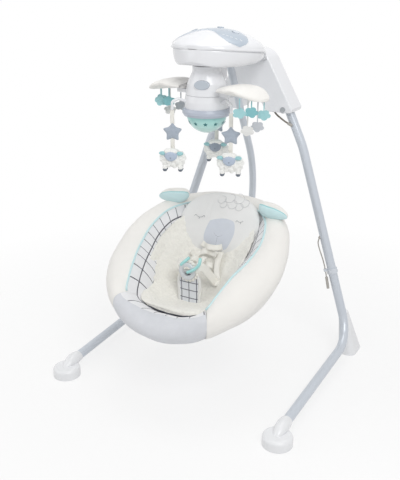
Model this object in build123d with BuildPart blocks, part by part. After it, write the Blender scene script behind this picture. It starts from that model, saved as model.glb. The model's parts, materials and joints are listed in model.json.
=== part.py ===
from build123d import *
import os
from math import asin, atan2, cos, pi, radians, sin, sqrt, tan

os.makedirs("parts", exist_ok=True)

# Frame: millimetres, +Z up, the seat faces -Y, and the origin lies on the floor
# under the middle of the object's box.

# Leg tubes of the right leg: the left leg is its mirror image
tube_d = 25.4
tube_wall = 1.5
slip_gap = 0.05
running_gap = 0.04
leg_pin_at = Vector(96, 277, 707)
leg_knee_at = Vector(147, 274, 601)
leg_corner_at = Vector(331, 249, 48)
leg_front_at = Vector(322, -242, 31)
pin_stub = 20
knee_bend_r = 300
elbow_bend_r = 88
collar_z = 249
base_joint_y = 145
spigot_length = 28
spigot_wall = 1.2
swage_length = 3
collar_d = 31.4
collar_height = 15
collar_edge = 1
snap_button_d = 8
snap_button_height = 2
cord_clip_d = 10

# Feet
front_foot_r = 38
front_foot_height = 28
front_foot_edge_r = 10
front_foot_y = -256
foot_neck_end_y = -201
foot_neck_end_d = 29
foot_neck_d = 32
foot_toe_length = 28
foot_toe_drop = 10
foot_toe_d = 12
rear_foot_rear_y = 315
rear_foot_width = 52
rear_foot_length = 84
rear_foot_top_z = 126
rear_foot_top_width = 25
rear_foot_top_length = 28
rear_foot_round = 0.42
rear_foot_edge_r = 4

# Drive head, sections across Y: place, half width, crown, shoulder and floor heights
wall = 3
head_sections = [
    (-101, 22, 897, 889, 864),
    (-92, 41, 906, 895, 857),
    (-70, 68, 918, 897, 852),
    (-30, 94, 934, 897, 850),
    (20, 111, 938, 897, 850),
    (67, 115, 930, 896, 850),
    (125, 110, 909, 889, 850),
    (185, 92, 888, 872, 849),
    (237, 66, 868, 859, 846),
]
head_floor_share = 0.85
head_bevel_height = 12
head_side_lean = 2
head_seat_gap = 0.4
parting_z = 880

# Control panel: a crescent between two circles, inside an ellipse, with three keys
panel_front_y = -64
panel_front_r = 76
panel_rear_y = -31
panel_rear_r = 106
panel_side_y = 67
panel_side_half = (103, 158)
panel_tip_y = -34
panel_gap = 0.3
key_d = 17
key_gap = 0.3
key_rise = 1.4
key_depth = 9
key_places = {"power_key": (0, 44), "speed_key": (58, 12), "sound_key": (-58, 12)}

# Rear arch that carries the legs
arch_front_y = 237
arch_depth = 75
arch_seam_y = 275
arch_apex_z = 868
arch_shoulder = (46, 845)
arch_foot = (123, 709)
arch_foot_z = 698
arch_foot_taper = 2
arch_foot_inner_x = 44
arch_notch_half = 22
arch_notch_z = 735
arch_corner_r = 7
arch_edge_r = 4
arch_opening_edge = 6
pin_d = 10
pin_head_d = 15
pin_head_height = 2
pin_boss_d = 22
pin_boss_gap = 0.8

# Batteries behind a door in the arch
cell_d = 34.2
cell_length = 61.5
cell_gap = 0.3
cell_y = 285
door_low_z = 744
door_high_z = 806
door_low_half = 80
door_high_half = 52
door_gap = 0.3

# Swing drive in the head
pivot_y = 74
pivot_z = 882
axle_d = 12
bush_d = 18
bush_length = 11
bush_flange_d = 23
bush_flange = 2
bush_span = 88
bush_post_width = 34
bush_post_height = 15
bush_gap = 0.05
hub_d = 38
hub_length = 44
hub_socket_d = 26
hub_socket_reach = 27
arm_slot_width = 54
arm_slot_front = 72
arm_slot_rear = 111
arm_slot_r = 10
motor_box = (44, 46, 26)
motor_at = (-62, 140)
motor_edge_r = 3
motor_can_d = 22
motor_can_length = 30

# Swing arm, a C in the middle plane: an upper and a lower arc that meet at one level
arm_d = 20
arm_wall = 1.6
arm_arc_y = -9
arm_arc_z = 470
arm_high_r = 270
arm_low_r = 280
arm_start = 13
arm_end_y = -68

# Seat swivel
swivel_y = -90
swivel_r = 35
swivel_height = 26
swivel_edge_r = 4
swivel_sleeve_d = 25.4
swivel_sleeve_setback = 9
swivel_post_d = 20
swivel_gap = 0.3

# Seat: a padded rim round a dish, with all its heights above the swivel's top. Stations
# round the rim from the head end: angle, inner and outer radius, inner and outer height, belly
seat_y = -63
seat_base_rise = 19
seat_base_tilt = 5.7
rim_foot_r = 150
rim_floor_r = 120
rim_crown = 20
rim_stations = [
    (0, 183, 243, 256, 245, 20),
    (40, 182, 241, 244, 238, 18),
    (60, 172, 240, 234, 220, 16),
    (80, 166, 243, 209, 190, 14),
    (104, 162, 250, 179, 138, 14),
    (126, 174, 255, 153, 94, 14),
    (139, 195, 255, 123, 69, 15),
    (147, 212, 252, 98, 55, 18),
]
front_stations = [
    (164, 188, 252, 66, 38, 22),
    (180, 175, 252, 59, 32, 24),
]
shell_lip_r = 108
shell_foot_r = 45
shell_wall = 4

# Pads in the seat, as heights over Y in the middle plane
pad_line = [(106, 258), (75, 211), (17, 147), (-50, 85), (-120, 37), (-172, 43), (-222, 64)]
pad_half_widths = [64, 88, 96, 98, 98, 92, 84]
pad_thickness = 14
pad_crown = 5
pad_edge = 4
liner_half_width = 66
liner_line = [(-90, 30), (-41, 69), (27, 132), (35, 139)]
pillow_at = (54, 206)
pillow_slope = 57
pillow_back_share = 0.6
pillow_sections = [(-122, 47, 6, 12), (-84, 83, 16, 5), (0, 94, 19, 0), (84, 83, 16, 5), (122, 47, 6, 12)]
ear_at = Vector(152, 63, 262)
ear_turn = 12
ear_sections = [(-36, 8, 8), (-14, 15, 16), (14, 16, 17), (42, 6, 7)]
crotch_width = 52
crotch_thickness = 12
crotch_y = -118
crotch_low = 29
crotch_top = 132
crotch_corner_r = 20
buckle_rise = 135
buckle_r = 24
buckle_bore_r = 13
buckle_thickness = 10
buckle_edge_r = 3
buckle_gap = 0.3
belt_width = 25
belt_thickness = 2.4
belt_pad_at = Vector(60, -66, 71)

# Mobile under the head
mobile_y = -27
bell_top_z = 850
bell_foot_z = 780.4
bell_foot_r = 53
bell_wall = 3.5
bell_neck_r = 36
bell_neck_z = 836
bell_waist_r = 49
bell_waist_z = 808
bell_roof_z = 822
bell_boss_r = 14
spindle_r = 8
spindle_top_z = 818
spindle_end_gap = 2
bell_rib_start = 30
bell_rib_end = 62
bell_rib_width = 48
bell_rib_low_z = 812
release_azimuth = 14
release_z = 808
release_width = 38
release_height = 22
release_rise = 3.5
release_depth = 12
release_gap = 0.3
drum_gap = 0.8
drum_height = 32.6
drum_top_r = 53
drum_belly_r = 56
drum_belly_rise = 17
drum_foot_r = 55
drum_wall = 4
ring_r = 61.5
ring_edge_r = 58
ring_inner_r = 49
ring_height = 18.5
ring_flat = 6
dome_r = 51
dome_height = 45
dome_wall = 2.5
dome_flange = 10
dome_gap = 0.3
hook_rod = 7
hook_reach = 88
hook_shoulder_r = 72
hook_rise = 7
hook_bend_r = 7
hook_drop = 20
lamb_angles = {"right": -19, "rear": 101, "left": 221}

# Cloud wings that stand out from the bell, with felt charms hung under them.
# Wing sections: distance from the axis, half width, thickness, height
wing_azimuth = -9
wing_sections = [(58, 42, 14, 796), (95, 56, 19, 799), (135, 52, 19, 793), (161, 36, 15, 783), (173, 17, 7, 777)]
wing_belly_share = 0.4
wing_tab_start = 47
wing_tab_reach = 82
wing_tab_width = 34
wing_tab_gap = 0.4
charm_thickness = 3
charm_r = 8
charm_side_r = 6
charm_side = 8
thread_d = 1.6
charm_places = [
    (0, 128, 40, 752), (0, 150, 22, 754), (0, 163, -12, 744), (0, 152, -2, 716), (0, 133, 12, 706),
    (180, 152, -2, 752), (180, 140, 14, 750), (180, 114, 12, 752), (180, 134, -16, 724), (180, 114, -36, 734),
]

# Plush lambs on their ribbons, all turned the same way
lamb_azimuth = 22
ribbon_width = 9
ribbon_thickness = 1.4
hang_gap = 0.4
star_drop = 56
star_r = 25
star_inner_r = 14
star_thickness = 12
star_edge_r = 3
lamb_drop = 68
lamb_body_sections = [(-35, 8, 10), (-25, 14, 20), (0, 16, 24), (25, 14, 20), (35, 8, 10)]
lamb_leg_d = 14
lamb_leg_spread = (20, 6)
lamb_leg_length = 33
lamb_head_aside = -14
lamb_head_ahead = 15
lamb_head_rise = 12
lamb_head_sections = [(-10, 11, 11), (-4, 17, 17), (4, 17, 17), (10, 11, 11)]

# Power lead
cord_d = 3.5
upper_cord_d = 5
boot_d = 8.5
boot_length = 14
cord_end_gap = 0.3
connector_d = 8
connector_length = 35
gland_width = 18
gland_height = 9
upper_cord_route = [
    (62, 257, 706), (62, 257, 700), (64.5, 257, 694), (70, 257, 688.5), (78, 257, 682.5), (88, 257.3, 676),
    (97, 258.7, 670), (103.5, 260.5, 666.5),
]
lower_cord_route = [
    (219.7, 254.7, 342), (217.2, 252, 335.5), (219.6, 250.4, 323), (225, 249.8, 308.9), (232, 250, 292.4),
    (238.6, 249.9, 275.8), (244, 249.2, 259.2), (249, 247.6, 242.2), (252, 246.2, 231),
]


# Shared shapes


def mirrored(piece):
    with BuildPart() as twin:
        mirror(piece, about=Plane.YZ)
    return twin.part


def round_bar(points, diameter, bore=0, bends=None):
    with BuildPart() as bar:
        with BuildLine() as route:
            if bends is None:
                Polyline(*points)
            else:
                FilletPolyline(*points, radius=bends)
        with BuildSketch(Plane(origin=route.line @ 0, z_dir=route.line % 0)):
            Circle(diameter / 2)
            if bore:
                Circle(bore / 2, mode=Mode.SUBTRACT)
        sweep()
    return bar.part


def rod_between(start, end, diameter):
    with BuildPart() as rod:
        with BuildSketch(Plane(origin=start, z_dir=end - start)):
            Circle(diameter / 2)
        extrude(amount=(end - start).length)
    return rod.part


def across_y(y):
    return Plane(origin=(0, y, 0), x_dir=(1, 0, 0), z_dir=(0, -1, 0))


def oval_loft(sections):
    with BuildPart() as form:
        for plane, half_u, half_v in sections:
            with BuildSketch(plane):
                with BuildLine():
                    corners = [(half_u, 0), (0, half_v), (-half_u, 0), (0, -half_v)]
                    for index, (u, v) in enumerate(corners):
                        next_u, next_v = corners[(index + 1) % 4]
                        middle = ((u + next_u) * sqrt(0.5), (v + next_v) * sqrt(0.5))
                        ThreePointArc((u, v), middle, (next_u, next_v))
                make_face()
        loft()
    return form.part


def lens_loft(sections):
    with BuildPart() as form:
        for plane, half_u, high, low in sections:
            with BuildSketch(plane):
                with BuildLine():
                    ThreePointArc((half_u, 0), (0, high), (-half_u, 0))
                    ThreePointArc((-half_u, 0), (0, -low), (half_u, 0))
                make_face()
        loft()
    return form.part


def turned_profile(points, y):
    with BuildPart() as turned:
        with BuildSketch(across_y(y)):
            with BuildLine():
                Polyline(*points, close=True)
            make_face()
        revolve(axis=Axis((0, y, 0), (0, 0, 1)))
    return turned.part


def cord_bends(points):
    corners = [Vector(*p) for p in points]
    radii = []
    for before, corner, after in zip(corners, corners[1:], corners[2:]):
        run_in = corner - before
        run_out = after - corner
        half_turn = radians(run_in.get_angle(run_out)) / 2
        radii.append(0.45 * min(run_in.length, run_out.length) / tan(half_turn))
    return radii


# Right leg

upright = (leg_corner_at - leg_knee_at).normalized()
base_run = (leg_front_at - leg_corner_at).normalized()
collar_at = leg_knee_at + upright * ((collar_z - leg_knee_at.Z) / upright.Z)
base_joint_at = leg_corner_at + base_run * ((base_joint_y - leg_corner_at.Y) / base_run.Y)
leg_top_at = leg_pin_at + (leg_pin_at - leg_knee_at).normalized() * pin_stub
tube_bore = tube_d - 2 * tube_wall
spigot_d = tube_bore - 2 * slip_gap
tube_outline = round_bar([leg_top_at, leg_knee_at, collar_at], tube_d + 2 * slip_gap, 0, knee_bend_r)
elbow_outline = round_bar([collar_at, leg_corner_at, base_joint_at], tube_d + 2 * slip_gap, 0, elbow_bend_r)

with BuildPart() as upper_tube:
    add(round_bar([leg_top_at, leg_knee_at, collar_at], tube_d, tube_bore, knee_bend_r))
    with Locations(leg_pin_at):
        Cylinder(pin_d / 2 + running_gap, 2 * tube_d, rotation=(90, 0, 0), mode=Mode.SUBTRACT)

with BuildPart() as elbow_tube:
    add(round_bar([collar_at, leg_corner_at, base_joint_at], tube_d, tube_bore, elbow_bend_r))
    for end, outward in ((collar_at, upright * -1), (base_joint_at, base_run)):
        swage_plane = Plane(origin=end - outward * swage_length, z_dir=outward)
        with BuildSketch(swage_plane):
            Circle(tube_d / 2 - tube_wall / 2)
            Circle(spigot_d / 2 - spigot_wall, mode=Mode.SUBTRACT)
        extrude(amount=swage_length)
        with BuildSketch(swage_plane):
            Circle(spigot_d / 2)
            Circle(spigot_d / 2 - spigot_wall, mode=Mode.SUBTRACT)
        extrude(amount=swage_length + spigot_length)

with BuildPart() as base_tube:
    add(round_bar([base_joint_at, leg_front_at], tube_d, tube_bore))

with BuildPart() as collar:
    with BuildSketch(Plane(origin=collar_at - upright * (collar_height / 2), z_dir=upright)):
        Circle(collar_d / 2)
    extrude(amount=collar_height)
    chamfer(collar.edges(), collar_edge)
    with BuildSketch(Plane(origin=collar_at, z_dir=(0, -1, 0))):
        Circle(snap_button_d / 2)
    extrude(amount=collar_d / 2 + snap_button_height)
    add(rod_between(leg_knee_at, leg_corner_at, tube_d + 2 * slip_gap), mode=Mode.SUBTRACT)

with BuildPart() as front_foot:
    with BuildSketch(Plane(origin=(leg_front_at.X, front_foot_y, 0))):
        Circle(front_foot_r)
    extrude(amount=front_foot_height)
    fillet(front_foot.faces().sort_by(Axis.Z)[-1].edges(), front_foot_edge_r)
    neck_end = leg_front_at + base_run * ((foot_neck_end_y - leg_front_at.Y) / base_run.Y)
    toe_at = leg_front_at + base_run * foot_toe_length - Vector(0, 0, foot_toe_drop)
    neck_rings = [(neck_end, foot_neck_end_d), (leg_front_at, foot_neck_d), (toe_at, foot_toe_d)]
    for ring_at, ring_d in neck_rings:
        with BuildSketch(Plane(origin=ring_at, z_dir=base_run)):
            Circle(ring_d / 2)
    loft()
    add(rod_between(leg_front_at, leg_corner_at, tube_d + 2 * slip_gap), mode=Mode.SUBTRACT)

with BuildPart() as rear_foot:
    foot_top_at = leg_corner_at + upright * ((rear_foot_top_z - leg_corner_at.Z) / upright.Z)
    with BuildSketch(Plane(origin=(leg_corner_at.X, rear_foot_rear_y - rear_foot_length / 2, 0))):
        RectangleRounded(rear_foot_width, rear_foot_length, rear_foot_width * rear_foot_round)
    with BuildSketch(Plane(origin=(foot_top_at.X, foot_top_at.Y + tube_d / 2, rear_foot_top_z))):
        RectangleRounded(rear_foot_top_width, rear_foot_top_length, rear_foot_top_width * rear_foot_round)
    loft()
    fillet(rear_foot.faces().sort_by(Axis.Z)[-1].edges(), rear_foot_edge_r)
    add(elbow_outline, mode=Mode.SUBTRACT)

# Power lead on the right leg

lower_cord_at = [Vector(*p) for p in lower_cord_route]
upper_cord_at = [Vector(*p) for p in upper_cord_route]
lower_bends = cord_bends(lower_cord_route)
upper_bends = cord_bends(upper_cord_route)
print("lower cord bend radii:", [round(r, 1) for r in lower_bends])
print("upper cord bend radii:", [round(r, 1) for r in upper_bends])

with BuildPart() as cord_lower:
    add(round_bar(lower_cord_route, cord_d, 0, lower_bends))

with BuildPart() as cord_upper:
    add(round_bar(upper_cord_route, upper_cord_d, 0, upper_bends))

with BuildPart() as right_collar:
    add(collar.part)
    clip_at = (lower_cord_at[-3] + lower_cord_at[-2]) * 0.5
    clip_half = upright * (collar_height / 4)
    add(rod_between(clip_at - clip_half, clip_at + clip_half, cord_clip_d))
    add(rod_between(leg_knee_at, leg_corner_at, tube_d + 2 * slip_gap), mode=Mode.SUBTRACT)
    add(round_bar(lower_cord_route, cord_d + 2 * cord_end_gap, 0, lower_bends), mode=Mode.SUBTRACT)

with BuildPart() as power_connector:
    tail = (lower_cord_at[-1] - lower_cord_at[-2]).normalized()
    add(rod_between(lower_cord_at[-1], lower_cord_at[-1] + tail * connector_length, connector_d))
    fillet(power_connector.edges(), cord_d / 4)

with BuildPart() as cord_grommets:
    lead_in = (lower_cord_at[0] - lower_cord_at[1]).normalized()
    add(rod_between(lower_cord_at[0], lower_cord_at[0] + lead_in * boot_length, boot_d))
    lead_out = (upper_cord_at[-1] - upper_cord_at[-2]).normalized()
    upper_seat = upper_cord_at[-1] + lead_out * cord_end_gap
    add(rod_between(upper_seat, upper_seat + lead_out * boot_length, boot_d))
    add(tube_outline, mode=Mode.SUBTRACT)

# Drive head


def head_form(inset):
    last = len(head_sections) - 1
    with BuildPart() as form:
        for index, (y, half, crown, shoulder, floor) in enumerate(head_sections):
            place = y + inset if index == 0 else y - inset if index == last else y
            top = half - head_side_lean - inset
            edge = shoulder - inset / 2
            with BuildSketch(across_y(place)):
                with BuildLine():
                    Polyline(
                        (-top, edge),
                        (inset - half, floor + head_bevel_height),
                        (head_floor_share * (inset - half), floor + inset),
                        (head_floor_share * (half - inset), floor + inset),
                        (half - inset, floor + head_bevel_height),
                        (top, edge),
                    )
                    ThreePointArc((top, edge), (0, crown - inset), (-top, edge))
                make_face()
        loft()
    return form.part


head_top_z = max(section[2] for section in head_sections) + 2 * wall


def crescent(grow):
    with BuildPart() as prism:
        with BuildSketch(Plane.XY.offset(parting_z + wall)):
            with Locations((0, panel_rear_y)):
                Circle(panel_rear_r + grow)
            with Locations((0, panel_front_y)):
                Circle(panel_front_r - grow, mode=Mode.SUBTRACT)
            with Locations((0, panel_side_y)):
                Ellipse(panel_side_half[0] + grow, panel_side_half[1] + grow, mode=Mode.INTERSECT)
            with Locations((0, panel_tip_y - grow + panel_rear_r)):
                Rectangle(4 * panel_rear_r, 2 * panel_rear_r, mode=Mode.INTERSECT)
        extrude(amount=head_top_z - parting_z)
    return prism.part


with BuildPart() as head_shell:
    add(head_form(0))
    add(head_form(wall), mode=Mode.SUBTRACT)

with BuildPart() as head_top_cover:
    add(head_shell.part)
    split(bisect_by=Plane.XY.offset(parting_z), keep=Keep.TOP)
    add(crescent(panel_gap), mode=Mode.SUBTRACT)

with BuildPart() as control_panel:
    add(head_shell.part)
    add(crescent(0), mode=Mode.INTERSECT)
    with BuildSketch(Plane.XY.offset(parting_z)):
        for place in key_places.values():
            with Locations(place):
                Circle(key_d / 2 + key_gap)
    extrude(amount=head_top_z - parting_z, mode=Mode.SUBTRACT)

raised_head = head_form(-key_rise)
keys = {}
for name, place in key_places.items():
    with BuildPart() as key:
        with BuildSketch(Plane.XY.offset(parting_z)):
            with Locations(place):
                Circle(key_d / 2)
        extrude(amount=head_top_z - parting_z)
        add(raised_head, mode=Mode.INTERSECT)
        key_top = key.part.bounding_box().max.Z
        split(bisect_by=Plane.XY.offset(key_top - key_depth), keep=Keep.TOP)
    keys[name] = key.part

floor_z = bell_top_z + wall
bush_ys = [pivot_y - bush_span / 2, pivot_y + bush_span / 2]

with BuildPart() as head_bottom_cover:
    add(head_shell.part)
    split(bisect_by=Plane.XY.offset(parting_z), keep=Keep.BOTTOM)
    for y in bush_ys:
        with BuildSketch(Plane(origin=(0, y, floor_z - wall / 2))):
            Rectangle(bush_post_width, bush_length)
        extrude(amount=pivot_z + bush_post_height - floor_z + wall / 2)
    with Locations((0, pivot_y, pivot_z)):
        Cylinder(bush_d / 2 + bush_gap, 2 * bush_span, rotation=(90, 0, 0), mode=Mode.SUBTRACT)
    with BuildSketch(Plane.XY.offset(bell_top_z - wall)):
        with Locations((0, (arm_slot_front + arm_slot_rear) / 2)):
            RectangleRounded(arm_slot_width, arm_slot_rear - arm_slot_front, arm_slot_r)
    extrude(amount=3 * wall, mode=Mode.SUBTRACT)

with BuildPart() as axle_bushes:
    for y, inward in zip(bush_ys, (1, -1)):
        with Locations((0, y, pivot_z)):
            Cylinder(bush_d / 2, bush_length, rotation=(90, 0, 0))
        with Locations((0, y + inward * (bush_length + bush_flange) / 2, pivot_z)):
            Cylinder(bush_flange_d / 2, bush_flange, rotation=(90, 0, 0))
    with Locations((0, pivot_y, pivot_z)):
        Cylinder(axle_d / 2 + running_gap, 2 * bush_span, rotation=(90, 0, 0), mode=Mode.SUBTRACT)

motor_low_z = floor_z + head_seat_gap

with BuildPart() as drive_motor:
    with BuildSketch(Plane(origin=(*motor_at, motor_low_z))):
        RectangleRounded(motor_box[0], motor_box[1], motor_edge_r)
    extrude(amount=motor_box[2])
    with BuildSketch(Plane(origin=(*motor_at, motor_low_z + motor_box[2] / 2), z_dir=(0, -1, 0))):
        Circle(motor_can_d / 2)
    extrude(amount=motor_box[1] / 2 + motor_can_length)

# Rear arch

with BuildPart() as arch_shell:
    with BuildSketch(across_y(arch_front_y)) as arch_outline:
        with BuildLine():
            right_edge = [
                arch_shoulder,
                arch_foot,
                (arch_foot[0] - arch_foot_taper, arch_foot_z),
                (arch_foot_inner_x, arch_foot_z),
                (arch_notch_half, arch_notch_z),
            ]
            left_edge = [(-x, z) for x, z in reversed(right_edge)]
            Polyline(*right_edge, *left_edge)
            ThreePointArc(left_edge[-1], (0, arch_apex_z), right_edge[0])
        make_face()
        fillet(arch_outline.vertices().group_by(Axis.Y)[0], arch_corner_r)
    extrude(amount=-arch_depth)
    fillet(arch_shell.faces().filter_by(Axis.Y).edges(), arch_edge_r)
    with BuildSketch(across_y(arch_front_y + wall)):
        with BuildLine():
            slope = (arch_foot[0] - arch_shoulder[0]) / (arch_shoulder[1] - arch_foot[1])
            lean = wall * sqrt(1 + slope * slope)
            right_inside = [
                (arch_shoulder[0] - lean, arch_shoulder[1]),
                (arch_foot[0] - lean, arch_foot[1]),
                (arch_foot[0] - arch_foot_taper - lean, arch_foot_z - wall),
                (arch_foot_inner_x + arch_opening_edge, arch_foot_z - wall),
                (arch_notch_half + lean, arch_notch_z + wall),
            ]
            left_inside = [(-x, z) for x, z in reversed(right_inside)]
            Polyline(*right_inside, *left_inside, close=True)
        make_face()
    extrude(amount=-(arch_depth - 2 * wall), mode=Mode.SUBTRACT)
    boss_gap = tube_d / 2 + pin_boss_gap
    arch_rear_y = arch_front_y + arch_depth
    for side in (-1, 1):
        pin_x = side * leg_pin_at.X
        with BuildSketch(Plane(origin=(pin_x, arch_front_y + wall / 2, leg_pin_at.Z), z_dir=(0, 1, 0))):
            Circle(pin_boss_d / 2)
        extrude(amount=leg_pin_at.Y - boss_gap - arch_front_y - wall / 2)
        with BuildSketch(Plane(origin=(pin_x, arch_rear_y - wall / 2, leg_pin_at.Z), z_dir=(0, -1, 0))):
            Circle(pin_boss_d / 2)
        extrude(amount=arch_rear_y - wall / 2 - leg_pin_at.Y - boss_gap)
        with Locations((pin_x, leg_pin_at.Y, leg_pin_at.Z)):
            Cylinder(pin_d / 2 + slip_gap, 2 * arch_depth, rotation=(90, 0, 0), mode=Mode.SUBTRACT)

with BuildPart() as arch_front_shell:
    add(arch_shell.part)
    split(bisect_by=across_y(arch_seam_y), keep=Keep.TOP)
    gland_x, gland_y, cord_top_z = upper_cord_route[0]
    gland_z = cord_top_z + cord_end_gap + gland_height / 2
    with BuildSketch(across_y(arch_front_y + wall / 2)):
        with Locations((gland_x, gland_z)):
            Rectangle(gland_width, gland_height)
    extrude(amount=-(gland_y + upper_cord_d - arch_front_y - wall / 2))


def door_prism(shrink):
    with BuildPart() as prism:
        with BuildSketch(across_y(arch_rear_y)):
            with BuildLine():
                Polyline(
                    (door_low_half - shrink, door_low_z + shrink),
                    (door_high_half - shrink, door_high_z - shrink),
                    (shrink - door_high_half, door_high_z - shrink),
                    (shrink - door_low_half, door_low_z + shrink),
                    close=True,
                )
            make_face()
        extrude(amount=wall)
    return prism.part


with BuildPart() as arch_rear_shell:
    add(arch_shell.part)
    split(bisect_by=across_y(arch_seam_y), keep=Keep.BOTTOM)
    add(door_prism(0), mode=Mode.SUBTRACT)

with BuildPart() as battery_door:
    add(door_prism(door_gap))

with BuildPart() as batteries:
    cell_low_z = arch_notch_z + wall + cell_gap + cell_d / 2
    for z in (cell_low_z, cell_low_z + cell_d + cell_gap):
        for side in (-1, 1):
            with Locations((side * (cell_length + cell_gap) / 2, cell_y, z)):
                Cylinder(cell_d / 2, cell_length, rotation=(0, 90, 0))

with BuildPart() as leg_pins:
    for side in (-1, 1):
        pin_x = side * leg_pin_at.X
        with BuildSketch(Plane(origin=(pin_x, arch_front_y - pin_head_height, leg_pin_at.Z), z_dir=(0, 1, 0))):
            Circle(pin_head_d / 2)
        extrude(amount=pin_head_height)
        with BuildSketch(Plane(origin=(pin_x, arch_front_y, leg_pin_at.Z), z_dir=(0, 1, 0))):
            Circle(pin_d / 2)
        extrude(amount=arch_depth)

# Swing arm

pivot_at = Vector(0, pivot_y, pivot_z)
arc_offset = Vector(0, arm_arc_y - pivot_y, arm_arc_z - pivot_z)
arm_lean = atan2(arm_arc_y - pivot_y, pivot_z - arm_arc_z) + asin(arm_high_r / arc_offset.length)
arm_run = Vector(0, sin(arm_lean), -cos(arm_lean))
arm_low_y = arm_arc_y + arm_high_r - arm_low_r
arm_low_z = arm_arc_z - arm_low_r
swivel_top_z = arm_low_z + swivel_height / 2
swivel_sleeve_end_y = arm_low_y - swivel_sleeve_setback


def arc_point(centre_y, radius, angle):
    return Vector(0, centre_y + radius * cos(angle), arm_arc_z + radius * sin(angle))


with BuildPart() as swing_arm:
    with BuildLine() as arm_route:
        Line(pivot_at + arm_run * arm_start, arc_point(arm_arc_y, arm_high_r, arm_lean))
        ThreePointArc(
            arc_point(arm_arc_y, arm_high_r, arm_lean),
            arc_point(arm_arc_y, arm_high_r, arm_lean / 2),
            arc_point(arm_arc_y, arm_high_r, 0),
        )
        ThreePointArc(
            arc_point(arm_low_y, arm_low_r, 0),
            arc_point(arm_low_y, arm_low_r, -pi / 4),
            arc_point(arm_low_y, arm_low_r, -pi / 2),
        )
        Line((0, arm_low_y, arm_low_z), (0, arm_end_y, arm_low_z))
    with BuildSketch(Plane(origin=pivot_at + arm_run * arm_start, z_dir=arm_run)):
        Circle(arm_d / 2)
        Circle(arm_d / 2 - arm_wall, mode=Mode.SUBTRACT)
    sweep()

with BuildPart() as swing_axle:
    with Locations(pivot_at):
        Cylinder(axle_d / 2, bush_span + bush_length, rotation=(90, 0, 0))

with BuildPart() as swing_hub:
    with Locations(pivot_at):
        Cylinder(hub_d / 2, hub_length, rotation=(90, 0, 0))
    add(rod_between(pivot_at, pivot_at + arm_run * hub_socket_reach, hub_socket_d))
    with Locations(pivot_at):
        Cylinder(axle_d / 2 + slip_gap, 2 * hub_length, rotation=(90, 0, 0), mode=Mode.SUBTRACT)
    add(
        rod_between(pivot_at + arm_run * arm_start, pivot_at + arm_run * 2 * hub_d, arm_d + 2 * slip_gap),
        mode=Mode.SUBTRACT,
    )

with BuildPart() as swivel_socket:
    with BuildSketch(Plane(origin=(0, swivel_y, swivel_top_z))):
        Circle(swivel_r)
    extrude(amount=-swivel_height)
    fillet(swivel_socket.faces().sort_by(Axis.Z)[0].edges(), swivel_edge_r)
    add(rod_between(Vector(0, swivel_y, arm_low_z), Vector(0, swivel_sleeve_end_y, arm_low_z), swivel_sleeve_d))
    with Locations((0, swivel_y, arm_low_z)):
        Cylinder(swivel_post_d / 2 + running_gap, 2 * swivel_height, mode=Mode.SUBTRACT)
    add(
        rod_between(Vector(0, arm_end_y, arm_low_z), Vector(0, arm_low_y, arm_low_z), arm_d + 2 * slip_gap),
        mode=Mode.SUBTRACT,
    )

# Seat


def base_z(y):
    return swivel_top_z + seat_base_rise + tan(radians(seat_base_tilt)) * (y - swivel_y)


def rim_loft(stations):
    with BuildPart() as rim:
        for angle, inner_r, outer_r, inner_rise, outer_rise, belly in stations:
            inner_z = swivel_top_z + inner_rise
            outer_z = swivel_top_z + outer_rise
            out_x = sin(radians(angle))
            out_y = cos(radians(angle))
            floor_edge = (rim_floor_r, base_z(seat_y + rim_floor_r * out_y))
            foot_edge = (rim_foot_r, base_z(seat_y + rim_foot_r * out_y))
            corners = [(inner_r, inner_z), (outer_r, outer_z), foot_edge]
            bulges = []
            for (r0, z0), (r1, z1), sag in zip(corners, corners[1:], (rim_crown, belly)):
                chord = Vector(r1 - r0, z1 - z0)
                middle = Vector((r0 + r1) / 2, (z0 + z1) / 2)
                bulges.append(middle + Vector(-chord.Y, chord.X).normalized() * sag)
            with BuildSketch(Plane(origin=(0, seat_y, 0), x_dir=(out_x, out_y, 0), z_dir=(out_y, -out_x, 0))):
                with BuildLine():
                    Line(floor_edge, corners[0])
                    ThreePointArc(corners[0], bulges[0], corners[1])
                    ThreePointArc(corners[1], bulges[1], corners[2])
                    Line(corners[2], floor_edge)
                make_face()
        loft()
    return rim.part


def other_side(stations, turn=0):
    return [(turn - angle, *rest) for angle, *rest in reversed(stations)]


with BuildPart() as rim_cushion:
    add(rim_loft(other_side(rim_stations[1:]) + rim_stations))

with BuildPart() as front_cushion:
    near_side = rim_stations[-1:] + front_stations
    add(rim_loft(near_side + other_side(near_side[:-1], 360)))

seat_plane = Plane(
    origin=(0, seat_y, base_z(seat_y)),
    x_dir=(1, 0, 0),
    z_dir=(0, -sin(radians(seat_base_tilt)), cos(radians(seat_base_tilt))),
)
shell_low_z = swivel_top_z + swivel_gap

with BuildPart() as seat_shell:
    with BuildSketch(seat_plane):
        Circle(rim_foot_r)
    with BuildSketch(Plane(origin=(0, swivel_y, shell_low_z))):
        Circle(shell_foot_r)
    loft()
    with BuildSketch(seat_plane):
        Circle(shell_lip_r)
    with BuildSketch(Plane(origin=(0, swivel_y, shell_low_z + shell_wall))):
        Circle(shell_foot_r - shell_wall)
    loft(mode=Mode.SUBTRACT)
    with BuildSketch(Plane(origin=(0, swivel_y, shell_low_z))):
        Circle(swivel_post_d / 2)
    extrude(amount=-swivel_height)

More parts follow.
